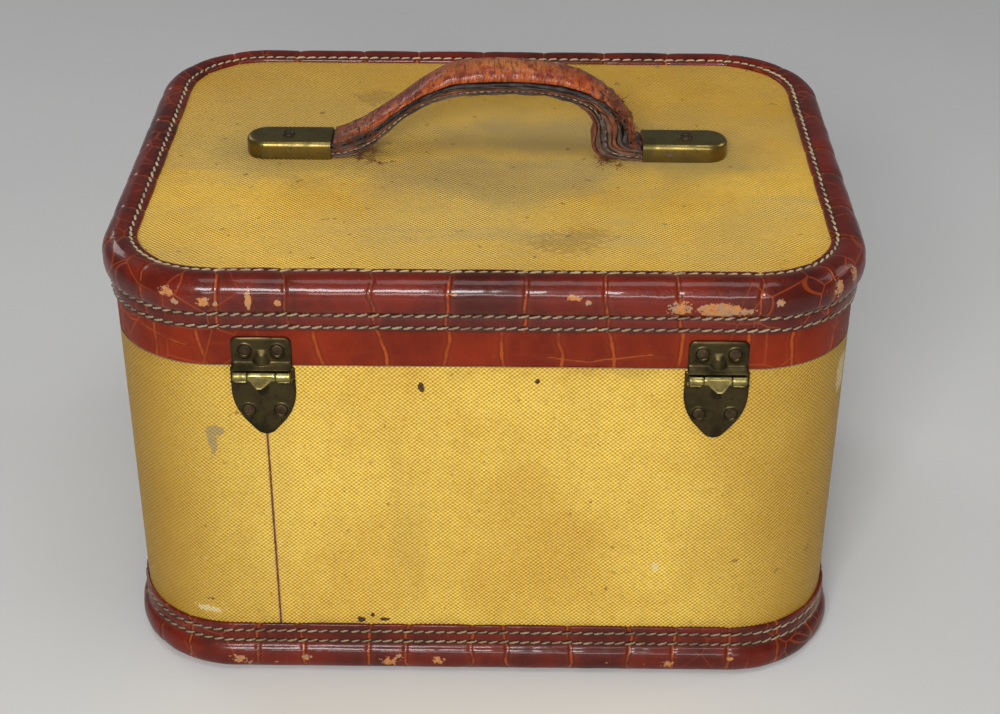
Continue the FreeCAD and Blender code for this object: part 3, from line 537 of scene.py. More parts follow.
def creased_leather(name, base, dark, vein, worn, patches, rough, line, gloss):
    """Embossed leather whose creases come from the mesh's crease values."""
    paint = Paint(name, base, Coat_Weight=gloss, Coat_Roughness=0.09, Specular_IOR_Level=0.15)
    paint.cloud(dark, 0.34, 0.68, 1, 28, 6, 0.65)
    paint.cloud(dark, 0.48, 0.72, 0.5, 70, 5, 0.7, (1, 1, 0.3), (3, 6, 2))
    gap = paint.value("crease") + (paint.noise(260, 4, 0.6) - 0.5) * 1.1
    # Small scales show where the case bends round its corners.
    bent = paint.axis(0).act("ABSOLUTE").ramp(0.085, 0.125) * paint.noise(26, 3).ramp(0.42, 0.5)
    network = bent * paint.cells(58).ramp(0.026, 0.012)
    paint.tint(gap.ramp(line + 4.0, line, 0.14), vein)
    paint.tint(gap.ramp(line + 1.5, line + 0.4, 0.55), dark)
    patchy = paint.noise(70, 4, 0.6, shift=(1, 8, 5)).ramp(0.36, 0.56, 1.0, 0.3)
    lines = gap.ramp(line + 0.25, line - 0.2) * patchy
    paint.tint(lines.act("MAXIMUM", network * 0.5), vein)
    paint.cloud(vein, 0.68, 0.74, 0.35, 620, 3, 0.6, (1, 1, 0.22), (2, 2, 9))
    # Painted shade: a dark brown band along each row of stitches, in the groove where the leather
    # dips.
    paint.tint((paint.value("row") + paint.noise(300, 3) * 0.8).ramp(1.9, 1.2, 0.8), (46, 18, 11))
    wear = patches(paint)
    bare = paint.mix(paint.noise(330, 4, 0.6, shift=(6, 1, 1)).ramp(0.45, 0.62, 0.8), worn,
                     (136, 124, 106))
    bare = paint.mix(paint.noise(700, 3, 0.7).ramp(0.5, 0.65, 0.5), bare, vein)
    paint.tint(wear, bare)
    height = paint.noise(900, 4, 0.6) * 0.3 + paint.cells(420).ramp(0.0, 0.06) * 0.35
    roughness = wear.act("MAXIMUM", paint.noise(40, 4, 0.6)).ramp(0.4, 1.0, 0.8, rough)
    return paint.finish(paint.bump(height - network - wear * 1.2, 0.35, 0.25), roughness)


def roll_patches(paint):
    """Where the lid's roll is rubbed down to the tan leather."""
    known = paint.spots(
        *((x, 131, z, size, ragged, scale, (wide, 1, tall))
          for x, z, size, ragged, scale, wide, tall in (
              (-100.5, 199.6, 5.6, 0.6, 420, 0.62, 1.5), (-84, 200, 3.4, 1.5, 620, 0.8, 1),
              (-112, 199, 2.4, 1.3, 520, 0.7, 1.6), (-126, 203.4, 1.7, 1.1, 520, 1, 0.8),
              (-130.5, 203, 1.3, 1.1, 520, 1, 1), (117.5, 201.5, 1.6, 1.3, 520, 0.7, 0.7),
              (112.5, 200.5, 1.2, 1.2, 520, 1, 1), (98.5, 203, 2, 0.7, 420, 1.5, 0.42),
              (86, 201.5, 1.5, 0.8, 520, 1, 1), (12, 206, 1.3, 1.2, 520, 0.6, 1.6),
              (-39, 205, 1.8, 1.2, 520, 0.6, 1.6), (-45, 203, 1.2, 1.1, 520, 1, 1))),
        (-152, 116, 203, 2.4, 1.3, 520, (1, 1, 0.7)),
        (-159, 107, 204, 2.2, 1.3, 520, (1, 1, 0.6)),
        (134, 129, 205.5, 2.4, 1.1, 520, (0.6, 1, 1.2)), (130, 130, 201, 1.5, 1.2, 520),
        (150, -118, 203, 4, 1.1, 420), (-152, -116, 203, 3.6, 1.1, 420),
        (60, -131, 202, 2.4, 1.1, 420, (0.6, 1, 1.4)))
    bits = paint.noise(260, 6, 0.66, shift=(4, 4, 4)).ramp(0.735, 0.75)
    return known.act("MAXIMUM", bits)


def foot_patches(paint):
    """Where the bottom roll is rubbed down to the tan leather."""
    known = paint.spots(
        *((x, 130, z, size, 1.2, 520, (0.72, 1, 1.1))
          for x, z, size in ((145, 9, 2.6), (138, 6, 1.8), (116, 7, 2.4), (111, 5, 1.6),
                             (98, 5, 1.1), (83, 8, 1.7), (44, 6, 2.8), (39, 9, 1.5),
                             (20.5, 7, 2.2), (10.5, 7, 1.1), (-60, 6, 1.2), (-88, 6, 2.2),
                             (-118, 9, 1.4), (-141, 9, 2.2))),
        (151, -117, 6, 4, 1.1, 400), (-151, -117, 6, 4, 1.1, 400))
    bits = paint.noise(210, 6, 0.66, shift=(7, 4, 2)).ramp(0.71, 0.73)
    return known.act("MAXIMUM", bits)


def band_patches(paint):
    """Small rubs on the lid's band."""
    return paint.noise(240, 5, 0.6, shift=(1, 5, 3)).ramp(0.74, 0.77, 0.6)


def rivet_rings(paint):
    """The height of the dishes round a hinge's rivets and of the shallow cone under its tail, and
    the cone's mask for painted shade.
    """
    across = reduce(lambda a, b: a.act("MINIMUM", b), [
        (paint.axis(0) - box(f"hinge_{side}_lid_leaf")[:, 0].mean() * MM).act("ABSOLUTE")
        for side in ("left", "right")])
    away = []
    for part in ("lid", "body"):
        low, high = box(f"hinge_left_{part}_rivets") * MM
        dx = across - (high[0] - low[0] - (high[2] - low[2])) / 2
        dz = paint.axis(2) - (low[2] + high[2]) / 2
        away.append(dx * dx + dz * dz)
    near = away[0].act("MINIMUM", away[1]).act("SQRT")
    dishes = near.ramp(RIVET_HEAD * MM, 3.2 * MM) * near.ramp(4.3 * MM, 3.3 * MM, 1.0, 0.6)
    wide = across / (2.9 * MM)
    up = (paint.axis(2) - 0.1575) / (4.4 * MM)
    cone = (wide * wide + up * up).ramp(1.0, 0.1)
    return dishes + cone * 2.0, cone


def brass_paint(name, bright, dull, shade, rough, scale=60.0, rings=False):
    """Tarnished brass, brighter where it is rubbed; with rings, painted shade under a hinge's
    tail.
    """
    paint = Paint(name, bright, Metallic=1.0)
    tarnish = paint.noise(scale, 6, 0.68).ramp(0.38, 0.64)
    paint.tint(tarnish, dull)
    paint.cloud(shade, 0.62, 0.74, 0.75, 520, 3, 0.6, shift=(3, 1, 2))
    scratches = paint.noise(300, 4, 0.7, (1, 0.15, 1), (1, 2, 3))
    roughness = tarnish.ramp(0.0, 1.0, rough + 0.22, rough) + scratches * 0.12
    height = (scratches + paint.noise(800, 2)) * 0.04
    if rings:
        pressed, cone = rivet_rings(paint)
        height = height + pressed
        # Painted shade: the shallow cone under the stop tail is darkened.
        paint.tint(cone * 0.6, shade)
    return paint.finish(paint.bump(height, 0.8 if rings else 0.6, 0.6), roughness)


def plain_paint(name, light, dark, shade, scale=90.0, rough=0.6, depth=0.12, stretch=(1, 1, 1)):
    """A material with cloudy colour, fine grain and a bumped face."""
    paint = Paint(name, light, Roughness=rough)
    paint.cloud(dark, 0.34, 0.68, 1, scale, 6, 0.65, stretch)
    grain = paint.noise(scale * 12, 4, 0.65, stretch, (2, 5, 1))
    paint.tint(grain.ramp(0.5, 0.75, 0.7), shade)
    return paint.finish(paint.bump(grain, 0.5, depth))


def lining_paint():
    """Ribbed lining cloth."""
    paint = Paint("lining", (196, 170, 142), Roughness=0.72, Sheen_Weight=0.25,
                  Specular_IOR_Level=0.25)
    rib = paint.cut()[0].wave("SINE", 1.6, paint.noise(30, 4, 0.6) * 9.0)
    paint.cloud((170, 140, 112), 0.35, 0.7, 1, 16, 5, 0.6)
    paint.colour = paint.mix(rib.ramp(-1.0, 1.0) * 0.45, (148, 118, 94), paint.colour)
    paint.cloud((120, 92, 66), 0.62, 0.78, 0.5, 60, 6, 0.7)
    return paint.finish(paint.bump(rib, 0.4, 0.3))


def card_paint():
    """Cloth-covered card, with a fine crossed thread."""
    paint = Paint("tray_cover", (198, 172, 142), Roughness=0.75, Sheen_Weight=0.2,
                  Specular_IOR_Level=0.25)
    threads = [paint.axis(axis).wave("SINE", 1.1 * MM) for axis in range(3)]
    cross = threads[0] * threads[1] * threads[2]
    paint.cloud((172, 142, 112), 0.35, 0.7, 1, 18, 5, 0.6)
    paint.tint(cross.ramp(-0.2, 0.8, 0.4), (136, 106, 80))
    paint.cloud((150, 98, 70), 0.62, 0.75, 0.55, 45, 6, 0.7, shift=(2, 9, 2))
    return paint.finish(paint.bump(cross, 0.3, 0.2))


def strap_paint(name, light, dark, fibre, rough):
    """Worn, layered leather whose fibres run along the strap."""
    paint = Paint(name, light, Roughness=rough, Specular_IOR_Level=0.4)
    thread = paint.add("TexNoise", {"Vector": paint.cut_point(0.09, 1.6), "Scale": 1.0,
                                    "Detail": 6.0, "Roughness": 0.7})
    paint.cloud(dark, 0.36, 0.64, 1, 120, 5, 0.7)
    paint.tint(thread.ramp(0.52, 0.66, 0.85), fibre)
    paint.tint(thread.ramp(0.44, 0.32, 0.8), (34, 20, 14))
    return paint.finish(paint.bump(thread, 0.8, 0.5))


def crown_paint():
    """Polished cracked leather, pale where the hand has rubbed it."""
    paint = Paint("crown_leather", (146, 58, 20), Coat_Weight=0.12, Coat_Roughness=0.2,
                  Specular_IOR_Level=0.25)
    edge = paint.value("edge")
    paint.cloud((92, 28, 9), 0.36, 0.66, 1, 60, 6, 0.65)
    crack = paint.cells(1.0, paint.cut_point(0.75, 0.16)).ramp(0.10, 0.02, 0.85)
    paint.tint(crack * edge.ramp(0.35, 0.95).act("ADD", 0.3, True), (70, 22, 12))
    paint.tint((edge + paint.noise(150, 4, 0.7) * 0.7).ramp(1.05, 1.35, 0.75), (164, 76, 30))
    rubbed = paint.value("rub") * paint.noise(110, 6, 0.7, shift=(5, 5, 2)).ramp(0.40, 0.54)
    paint.tint(rubbed * 0.8, (190, 118, 62))
    shreds = paint.noise(420, 6, 0.75)
    torn = (paint.value("torn") + (shreds - 0.5) * 1.6).ramp(0.42, 0.62)
    paint.tint(torn, paint.mix(shreds.ramp(0.42, 0.56), (58, 30, 20), (150, 78, 42)))
    paint.cloud((176, 92, 42), 0.52, 0.6, 0.7, 360, 5, 0.7, (1, 0.5, 0.5), (2, 2, 2))
    wrinkles = paint.noise(300, 4, 0.65, (2.4, 0.5, 0.5), (7, 2, 4)).ramp(0.46, 0.38, 0.6)
    paint.tint(wrinkles, (72, 24, 12))
    height = shreds * 0.4 - crack - wrinkles * 0.6 + torn * shreds * 1.5
    roughness = paint.noise(90, 4, 0.6).ramp(0.3, 0.8, 0.5, 0.24)
    return paint.finish(paint.bump(height, 0.6, 0.35), roughness)


# The third colour of each canvas is painted shade in the weave's gaps.
cloth = cloth_paint("case_cloth", (228, 190, 76), (204, 160, 52), (158, 114, 32), body_marks)
top_canvas = cloth_paint("top_cloth", (252, 202, 74), (226, 172, 48), (168, 116, 30), top_marks)
roll_leather = creased_leather("roll_leather", (106, 26, 7), (64, 14, 5), (152, 62, 18),
                               (176, 118, 66), roll_patches, 0.3, 0.42, 0.35)
foot_leather = creased_leather("foot_leather", (102, 26, 8), (62, 14, 6), (146, 62, 20),
                               (176, 118, 66), foot_patches, 0.32, 0.5, 0.25)
band_leather = creased_leather("band_leather", (124, 36, 8), (98, 25, 6), (150, 66, 22),
                               (176, 112, 62), band_patches, 0.42, 0.62, 0.0)
crown_leather = crown_paint()
cap_brass, hinge_brass, leaf_brass, barrel_brass, tail_brass, rivet_brass, frame_brass = (
    brass_paint(*looks) for looks in (
        ("cap_brass", (134, 116, 66), (98, 86, 50), (52, 45, 27), 0.25),
        # The hinge and leaf brass are dark tarnished brass, darkened further as a painted
        # reflection of dark surroundings.
        ("hinge_brass", (78, 70, 46), (50, 45, 31), (28, 24, 17), 0.3),
        ("leaf_brass", (72, 62, 39), (46, 40, 27), (26, 22, 15), 0.3, 60.0, True),
        ("barrel_brass", (156, 144, 88), (106, 96, 60), (56, 48, 30), 0.24, 120.0),
        # A lighter copy of the hinge brass, as painted highlight on the stop tail's up-facing
        # top.
        ("tail_brass", (214, 200, 132), (150, 136, 84), (66, 56, 34), 0.45, 160.0),
        ("rivet_brass", (86, 70, 50), (60, 48, 36), (34, 26, 20), 0.36, 200.0),
        ("frame_brass", (206, 178, 112), (160, 132, 78), (96, 74, 40), 0.24)))
strap_dark, strap_brown, strap_black, strap_suede = (strap_paint(*looks) for looks in (
    ("strap_dark", (82, 72, 66), (48, 42, 40), (152, 128, 110), 0.55),
    ("strap_brown", (112, 78, 58), (74, 52, 40), (172, 130, 100), 0.65),
    ("strap_black", (46, 38, 38), (26, 21, 22), (96, 74, 60), 0.32),
    ("strap_suede", (134, 72, 40), (88, 46, 28), (178, 116, 78), 0.8)))
hole_shade, wood, tab_leather, backing_card, top_thread, side_thread, foot_thread = (
    plain_paint(*looks) for looks in (
        # A dark finish used only as painted shade inside the cap eyelets.
        ("hole_shade", (38, 34, 26), (24, 22, 18), (60, 50, 34), 300.0, 0.5, 0.1),
        ("case_wood", (186, 150, 104), (152, 114, 74), (110, 78, 48), 18.0, 0.6, 0.3,
         (0.25, 1, 3)),
        ("tab_leather", (112, 56, 30), (84, 38, 22), (58, 26, 16), 90.0, 0.45, 0.2),
        ("backing_card", (88, 74, 60), (66, 54, 44), (48, 40, 32), 60.0, 0.8, 0.2),
        ("top_thread", (196, 172, 134), (148, 124, 92), (84, 62, 44)),
        ("side_thread", (158, 134, 104), (104, 82, 60), (58, 40, 28)),
        ("foot_thread", (150, 130, 98), (100, 80, 56), (56, 40, 28))))
lining = lining_paint()
tray_cover = card_paint()


# Cloth and leather of the case

def stretched(obj, body, slot, nodes, wide, tall):
    """Places a sheet of cloth that is glued down flat; its cut size in mm, wide and tall, is not
    used.
    """
    place_piece(obj, body, slot, *nodes)
    wide * MM
    tall * MM


def stretched_panel(name, inset, height, paint, body, slot, nodes, rests_on, **more):
    """A panel placed as a sheet of cloth, cut to the outline's rounded corners."""
    wide, tall = 2 * (HALF_X - inset), 2 * (HALF_Y - inset)
    area = (wide * tall - (4 - math.pi) * max(CORNER - inset, 3) ** 2) * MM ** 2
    stretched(panel(name, inset, height, paint, **more), body, slot, nodes, wide, tall)


def cloth_relief(s, t, x, y, z):
    turned = np.minimum(s, ROUND - s)
    return 0.08 * ripple(11, 38, x, y, z) - 0.1 - 0.6 * np.exp(-(turned / 0.55) ** 2)


near_seam = np.array([0.04, 0.3, 0.6, 0.9, 1.3, 1.8, 2.5, 3.5, 5])
body_stations = np.concatenate([near_seam, np.arange(7.5, ROUND - 6, 3), ROUND - near_seam[::-1]])
cloth_low = box("body_cloth")[0, 2]
body_cloth = sweep("body_cloth_skin", [(0, up) for up in np.linspace(cloth_low, SPLIT, 48)],
                   body_stations, cloth, cloth_relief, False)
stretched(body_cloth, "case", "case_cloth", ["body_cloth"], ROUND - 0.1,
          SPLIT - cloth_low)
stretched_panel("lid_canvas", 2, TOP, top_canvas, "lid", "top_cloth", ["lid_cloth"], "lid_board")
stretched_panel("bottom_canvas", HALF_X - box("bottom_cloth")[1, 0], 0.3, cloth, "case",
                "case_cloth", ["bottom_cloth"], "bottom_board", lumps=0, down=True)

roll_gap = crease_gap(crossings(3, 81.3, 33.3, 2.5), 100, 0.09, 0.9)
foot_gap = crease_gap(crossings(8, 60, 25.5, 4), 200, 0.12, 1.2)
band_cross = crease_gap(crossings(21, 78, 25.2, 2.2), 300, 0.22, 1.0)
STITCH_ROWS = (("lid_upper_stitches", 194.2), ("lid_lower_stitches", 188.3))
FOOT_ROWS = (("foot_upper_stitches", 21.7), ("foot_lower_stitches", 15.9))
TOP_ROW = -9.0
# Above this height the lid's binding lies on its top.
TURN_IN = 209


def vein_gap(s, t, x, y, z):
    """How far a point of the band is from its creases or its long wavy veins."""
    best = band_cross(s, t)
    for index, height in enumerate((173.5, 181.0)):
        wave = height + 2.6 * ripple(70 + index, 26, x, y) + 1.2 * ripple(80 + index, 9, x, y)
        away = np.abs(z - wave) * 1.8 + 9 * np.clip(ripple(90 + index, 55, x, y) + 0.28, 0, 1)
        best = np.minimum(best, away)
    return best


def distance_in(x, y):
    """How far inside the case's outline a point lies."""
    qx, qy = np.abs(x) - FLAT_X, np.abs(y) - FLAT_Y
    away = np.hypot(np.maximum(qx, 0), np.maximum(qy, 0)) + np.minimum(np.maximum(qx, qy), 0)
    return CORNER - away


def row_gap(rows, z):
    """How far a height is from the nearest row of stitches."""
    return np.min([np.abs(z - height) for _, height in rows], axis=0)


def roll_row(s, t, x, y, z):
    return np.where(z > TURN_IN, np.abs(distance_in(x, y) + TOP_ROW), row_gap(STITCH_ROWS, z))


def puffed(gap, puff, cut, seed, coarse, fine, rows, at):
    """Leather that swells between creases and sinks along them and its rows of stitches."""
    x, y, z = at
    rise = puff * (1 - np.exp(-(gap / 5) ** 2)) - cut * np.exp(-(gap / 0.8) ** 2)
    for number, (high, lump) in enumerate((coarse, fine)):
        rise = rise + high * ripple(seed + number, lump, x, y, z)
    return rise - sum(0.4 * np.exp(-(z - height) ** 2) for _, height in rows)


def roll_relief(s, t, x, y, z):
    top = 0.45 * np.exp(-((distance_in(x, y) + TOP_ROW) / 1.1) ** 2)
    rise = puffed(roll_gap(s, t), 0.22, 0.42, 31, (0.14, 13), (0.06, 4), STITCH_ROWS, (x, y, z))
    return rise - np.where(z > TURN_IN, top, 0) - 0.15


def foot_relief(s, t, x, y, z):
    rise = puffed(foot_gap(s, t), 0.2, 0.4, 41, (0.16, 12), (0.08, 4), FOOT_ROWS, (x, y, z))
    return np.where(z < 1.5, -0.02, rise - 0.18)


def band_relief(s, t, x, y, z):
    gap = vein_gap(s, t, x, y, z)
    return -0.06 - 0.22 * np.exp(-(gap / 1.1) ** 2) + 0.05 * ripple(51, 9, x, y, z)


low = box("lid_binding")[0, 2]
lid_profile = np.vstack([
    [(0.2, low), (1.1, low)], smooth_line([(1.45, low + 0.35), (1.5, 190), (1.5, 194.6)], 0.8),
    smooth_line([(1.7, 195.2), (3.3, 196.9), (4.0, 200), (4.0, 203.4), (3.0, 206.9),
                 (0.7, 209.7), (-2.4, 211.3), (-5.6, 211.2), (-9, 210.4), (-11, 210.1),
                 (-11.8, 209.6), (-12, 208.3)], 0.7)])
high = box("bottom_binding")[1, 2]
foot_profile = np.vstack([
    smooth_line([(-11.7, 1.4), (-11.2, 0.3), (-8, 0.05), (-2, 0.05), (1.2, 0.5), (3.3, 2.4),
                 (4.3, 5.2), (4.3, 8.6), (3.4, 11.6), (1.7, 13.5)], 0.8),
    smooth_line([(1.5, 14.2), (1.5, 20), (1.5, high - 0.4)], 0.8), [(1.1, high), (0.1, high)]])
low = box("lid_band")[0, 2]
band_profile = np.vstack([[(-1.1, low + 0.05), (-0.35, low + 0.02)],
                          smooth_line([(-0.02, low + 0.5), (0, 176), (0, 187)], 0.6)])
for name, body, slot, node, profile, step, paint, relief, crease, row in (
        ("lid_roll", "lid", "binding_leather", "lid_binding", lid_profile, 0.85, roll_leather,
         roll_relief, roll_gap, roll_row),
        ("foot_roll", "case", "binding_leather", "bottom_binding", foot_profile, 0.85,
         foot_leather, foot_relief, foot_gap, lambda *at: row_gap(FOOT_ROWS, at[4])),
        ("lid_band_skin", "lid", "band_leather", "lid_band", band_profile, 0.8, band_leather,
         band_relief, vein_gap, lambda *at: np.full_like(at[4], 9.0))):
    strip = sweep(name, profile, steps_round(step), paint, relief,
                  values={"crease": crease, "row": row})
    place_piece(strip, body, slot, node)


def stitch_row(name, body, paint, row, pitch, girth, seed):
    """Slanted rope stitches along one row: row is (out, up, degrees the face leans back)."""
    out, up, lean = row
    count = round(ROUND / pitch)
    chance = np.random.default_rng(seed)
    stretch = ripple(seed, 90, np.arange(count) * pitch) * 0.07 * pitch
    places = np.cumsum(np.full(count, ROUND / count)) + stretch
    point, normal = outline(places)
    after, before = outline(places + 0.5), outline(places - 0.5)
    length = np.linalg.norm(after[0] + after[1] * out - before[0] - before[1] * out, axis=1)
    lean = math.radians(lean)
    face = np.column_stack([normal * math.cos(lean), np.full(count, math.sin(lean))])
    rise = np.column_stack([-normal * math.sin(lean), np.full(count, math.cos(lean))])
    right = np.column_stack([-normal[:, 1], normal[:, 0], np.zeros(count)])
    centre = np.column_stack([point + normal * out, np.full(count, up)])
    centre += rise * chance.uniform(-0.15, 0.15, count)[:, None]
    along, turn = np.linspace(-1, 1, 11), circle(8)
    ring_size = np.clip(1 - np.abs(along) ** 2.6, 0.02, 1) ** 0.6
    tubes = []
    for index in range(count):
        half = ROUND / count * length[index] * 0.5 * chance.uniform(1.06, 1.2)
        angle = math.radians(15 + chance.uniform(-4, 4))
        way = right[index] * math.cos(angle) + rise[index] * math.sin(angle)
        side = -right[index] * math.sin(angle) + rise[index] * math.cos(angle)
        twist = 1 + 0.2 * np.cos(2 * turn[None, :] - along[:, None] * half * 3.2)
        size = girth * ring_size[:, None] * twist * chance.uniform(0.88, 1.08)
        lift = 0.30 * girth - 1.0 * girth * np.abs(along) ** 3
        tubes.append(centre[index] + (along * half)[:, None, None] * way
                     + (size * np.cos(turn))[..., None] * side
                     + (0.8 * size * np.sin(turn) + lift[:, None])[..., None] * face[index])
    place_piece(add_tubes(name, tubes, paint), body, "binding_leather")


stitch_row("top_stitches", "lid", top_thread, (TOP_ROW, 209.95, 84), 5.6, 0.62, 61)
for rows, body, paint, pitch, seed in ((STITCH_ROWS, "lid", side_thread, 4.9, 62),
                                       (FOOT_ROWS, "case", foot_thread, 5.0, 66)):
    for number, (name, height) in enumerate(rows):
        stitch_row(name, body, paint, (1.15, height, 0), pitch, 0.55, seed + number)


# Inside of the case and lid

def lining_relief(s, t, x, y, z):
    return 0.12 * ripple(57, 30, x, y, z)


lining_low = box("body_lining")[0, 2] + 1
lid_low, ceiling = box("lid_lining")[:, 2] - (0, 1)
body_inner, lid_inner = (HALF_X + 1 - box(node)[1, 0] for node in ("body_lining", "lid_lining"))
lid_lining_profile = np.vstack([
    [(-lid_inner, up) for up in np.linspace(lid_low, ceiling - 4, 12)],
    smooth_line([(-lid_inner, ceiling - 3), (-lid_inner - 0.9, ceiling - 0.9),
                 (-lid_inner - 3, ceiling)], 0.6)])
for body, profile, tall in (
        ("body", [(-body_inner, up) for up in np.linspace(lining_low, SPLIT, 40)],
         SPLIT - lining_low),
        ("lid", lid_lining_profile, ceiling - lid_low + 2)):
    skin = sweep(f"{body}_lining_skin", profile, steps_round(4), lining, lining_relief)
    skin.data.flip_normals()
    stretched(skin, "case" if body == "body" else "lid", "lining_fabric", [f"{body}_lining"],
              ROUND, tall)
stretched_panel("lid_ceiling_lining", lid_inner + 2.5, ceiling, lining, "lid", "lining_fabric",
                [], "lid_board", lumps=0.1, down=True)

(_, _, pad_low), (pad_side, _, pad_high) = box("bottom_pad")
floor_pad = panel("floor_pad", HALF_X - pad_side + 0.3, pad_high - 0.3, lining, 0.25)
shell = floor_pad.modifiers.new("thick", "SOLIDIFY")
shell.thickness = (pad_high - pad_low - 0.4) * MM
shell.offset = -1
place_piece(floor_pad, "case", "lining_fabric", "bottom_pad")

glass = Paint("mirror_glass", (226, 230, 232), Metallic=1.0)
glass.tint(glass.noise(14, 8, 0.75).ramp(0.60, 0.80, 0.7), (120, 112, 104))
silver = glass.finish(roughness=glass.noise(30, 5, 0.7).ramp(0.4, 0.9, 0.22, 0.03))


def repaint(node, paint):
    """A finish for a CAD node that shows as it is."""
    for material_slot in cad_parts[node].material_slots:
        material_slot.material = paint


for node in ("body_wall", "bottom_board", "lid_wall", "lid_board"):
    repaint(node, wood)
repaint("rim_lip", tray_cover)
repaint("mirror_glass", silver)
repaint("mirror_backing", backing_card)
for node, name, wide, paint, body, slot, steps in (
        ("tray_ledge_left", "ledge_left", 0.8, tray_cover, "case", "lining_fabric", 2),
        ("tray_ledge_right", "ledge_right", 0.8, tray_cover, "case", "lining_fabric", 2),
        ("tray_box", "tray_tub", 0.5, tray_cover, "tray", "tray_card", 2),
        *((f"tray_divider_{part}", f"divider_{part}", 0.45, tray_cover, "tray", "tray_card", 2)
          for part in ("back", "left", "long", "right")),
        ("tray_tabs", "tray_pulls", 0.35, tab_leather, "tray", "tab_leather", 2),
        ("mirror_frame", "mirror_surround", 0.7, frame_brass, "lid", "mirror_frame_brass", 3)):
    rounded_copy(node, name, wide, paint, body, slot, steps)


# Handle: layers of leather bent along one path, a padded crown, and two brass caps

HANDLE_Y = box("handle_strap")[:, 1].mean()
FLOOR = TOP + 0.3

# The strap's underside (x, up), its upper side under the crown (x, up), the crown's height.
HANDLE_GUIDE = smooth_line([
    (102, FLOOR, 102, FLOOR + 4.6, 0), (88, FLOOR, 88, FLOOR + 4.8, 0),
    (76, FLOOR, 75.5, FLOOR + 7.2, 0.4), (66, 209.6, 64, 220, 2.4), (56, 214, 52.5, 226, 4.2),
    (48, 221.2, 43.5, 232.2, 5.2), (40, 228.6, 36.5, 237.2, 6), (30, 235.2, 28, 242, 6.8),
    (16, 240.3, 15, 246.8, 7.5), (-5, 242, -5, 248.3, 7.7), (-24, 241.6, -25, 247.6, 7.2),
    (-38, 239, -40.5, 245, 6.2), (-47, 234.6, -51.5, 240.5, 4.6), (-51.5, 229, -59.5, 235, 3.3),
    (-52.3, 223, -65, 229.5, 2.6), (-51.5, 217.5, -67.5, 224, 2.2),
    (-53.5, 212.5, -67, 219.2, 1.6), (-60, 209.8, -69.5, 217.2, 1),
    (-70, FLOOR, -73.5, FLOOR + 7, 0.4),
    (-88, FLOOR, -88, FLOOR + 4.8, 0), (-102, FLOOR, -102, FLOOR + 4.6, 0)], 1.1)


def bulge(turned, power):
    """A sine or cosine bent towards a box by a power below 1."""
    return np.sign(turned) * np.abs(turned) ** power


def ribbon(name, slot, nodes, guide, low, high, half_wide, paint, seed, rough=0.25, sway=0.5,
           boxy=0.42, domed=False, values=None):
    """A leather layer between two heights above the guide's underside, with uneven edges."""
    under, over = guide[:, :2], guide[:, 2:4]
    side = over - under
    side = side / np.linalg.norm(side, axis=1)[:, None]
    s = lengths_along(under)
    count, sides = len(guide), 32
    low, high, half_wide, rough = (np.broadcast_to(item, count).astype(float)
                                   for item in (low, high, half_wide, rough))
    turn = np.linspace(0, 2 * math.pi, sides + 1)[:-1]
    across, up = bulge(np.cos(turn), boxy), bulge(np.sin(turn), boxy)
    middle, half = (low + high) / 2, (high - low) / 2
    if domed:
        across = np.where(np.sin(turn) > 0, bulge(np.cos(turn), 0.8), across)
        up = np.where(np.sin(turn) > 0, np.sin(turn), up * 0.12)
        middle, half = low + 0.12 * (high - low), 0.88 * (high - low)
    drift = sway * ripple(seed, 22, s)
    b = middle[:, None] + half[:, None] * up[None, :]
    jag = 1 + 0.05 * ripple(seed + 1, 5, s)[:, None]
    y = HANDLE_Y + (half_wide[:, None] * across[None, :] + drift[:, None]) * jag
    x = under[:, :1] + side[:, :1] * b
    z = under[:, 1:] + side[:, 1:] * b
    lump = rough[:, None] * (ripple(seed + 2, 4, x, y, z) + 0.6 * ripple(seed + 3, 1.7, x, y, z))
    x = x + side[:, :1] * up[None, :] * lump
    z = z + side[:, 1:] * up[None, :] * lump
    y = y + across[None, :] * lump
    points = np.stack([x, y, np.maximum(z, TOP + 0.05)], axis=2)
    faces = tube_faces(count, sides, turned=True)
    faces += [tuple(range(sides)), tuple(range(count * sides - 1, (count - 1) * sides - 1, -1))]
    girth = np.linspace(0, 60, sides + 1)
    uv = [corner for i in range(count - 1) for k in range(sides)
          for corner in ((s[i], girth[k]), (s[i + 1], girth[k]), (s[i + 1], girth[k + 1]),
                         (s[i], girth[k + 1]))]
    uv += [(s[0], 0)] * sides + [(s[-1], 0)] * sides
    found = {key: np.broadcast_to(value(across[None, :], up[None, :], x), x.shape)
             for key, value in (values or {}).items()}
    made = add_mesh(name, points.reshape(-1, 3), faces, paint, np.array(uv), found)
    place_piece(made, "lid", slot, *nodes)


gap = np.linalg.norm(HANDLE_GUIDE[:, 2:4] - HANDLE_GUIDE[:, :2], axis=1)
guide_run = np.arange(len(gap)) * 1.1
# The top of each layer as a share of the strap, and its finish.
SHARES = (0.12, 0.25, 0.37, 0.5, 0.63, 1.0)
PAINTS = (strap_brown, strap_dark, strap_brown, strap_suede, strap_dark, strap_black)
bent_end = np.clip((-HANDLE_GUIDE[:, 2] - 44) / 8, 0, 1)
edges = [0.0]
for number, share in enumerate(SHARES):
    spread = share + bent_end * ((number + 1) / len(SHARES) - share)
    edges.append(spread + (0.05 if share < 1 else 0) * ripple(500 + number, 11, guide_run))
for number, paint in enumerate(PAINTS):
    low = edges[number] * gap + 0.03
    high = np.maximum(edges[number + 1] * gap - 0.03, low + 0.3)
    half_wide = STRAP_HALF + 0.7 * ripple(407 + 10 * number, 6, guide_run)
    nodes = {0: ["handle_strap"], 1: ["handle_core"]}.get(number, [])
    ribbon(f"handle_strap_layer_{number + 1}", "strap_leather", nodes, HANDLE_GUIDE, low, high,
           half_wide, paint, 401 + 10 * number, 0.28 + 0.4 * bent_end, 0.5 + 0.5 * bent_end)


def shaped(shown, places, values):
    """Values between places from 0 to 1 along the shown part of the guide."""
    return np.interp(np.linspace(0, 1, shown.sum()), places, values)


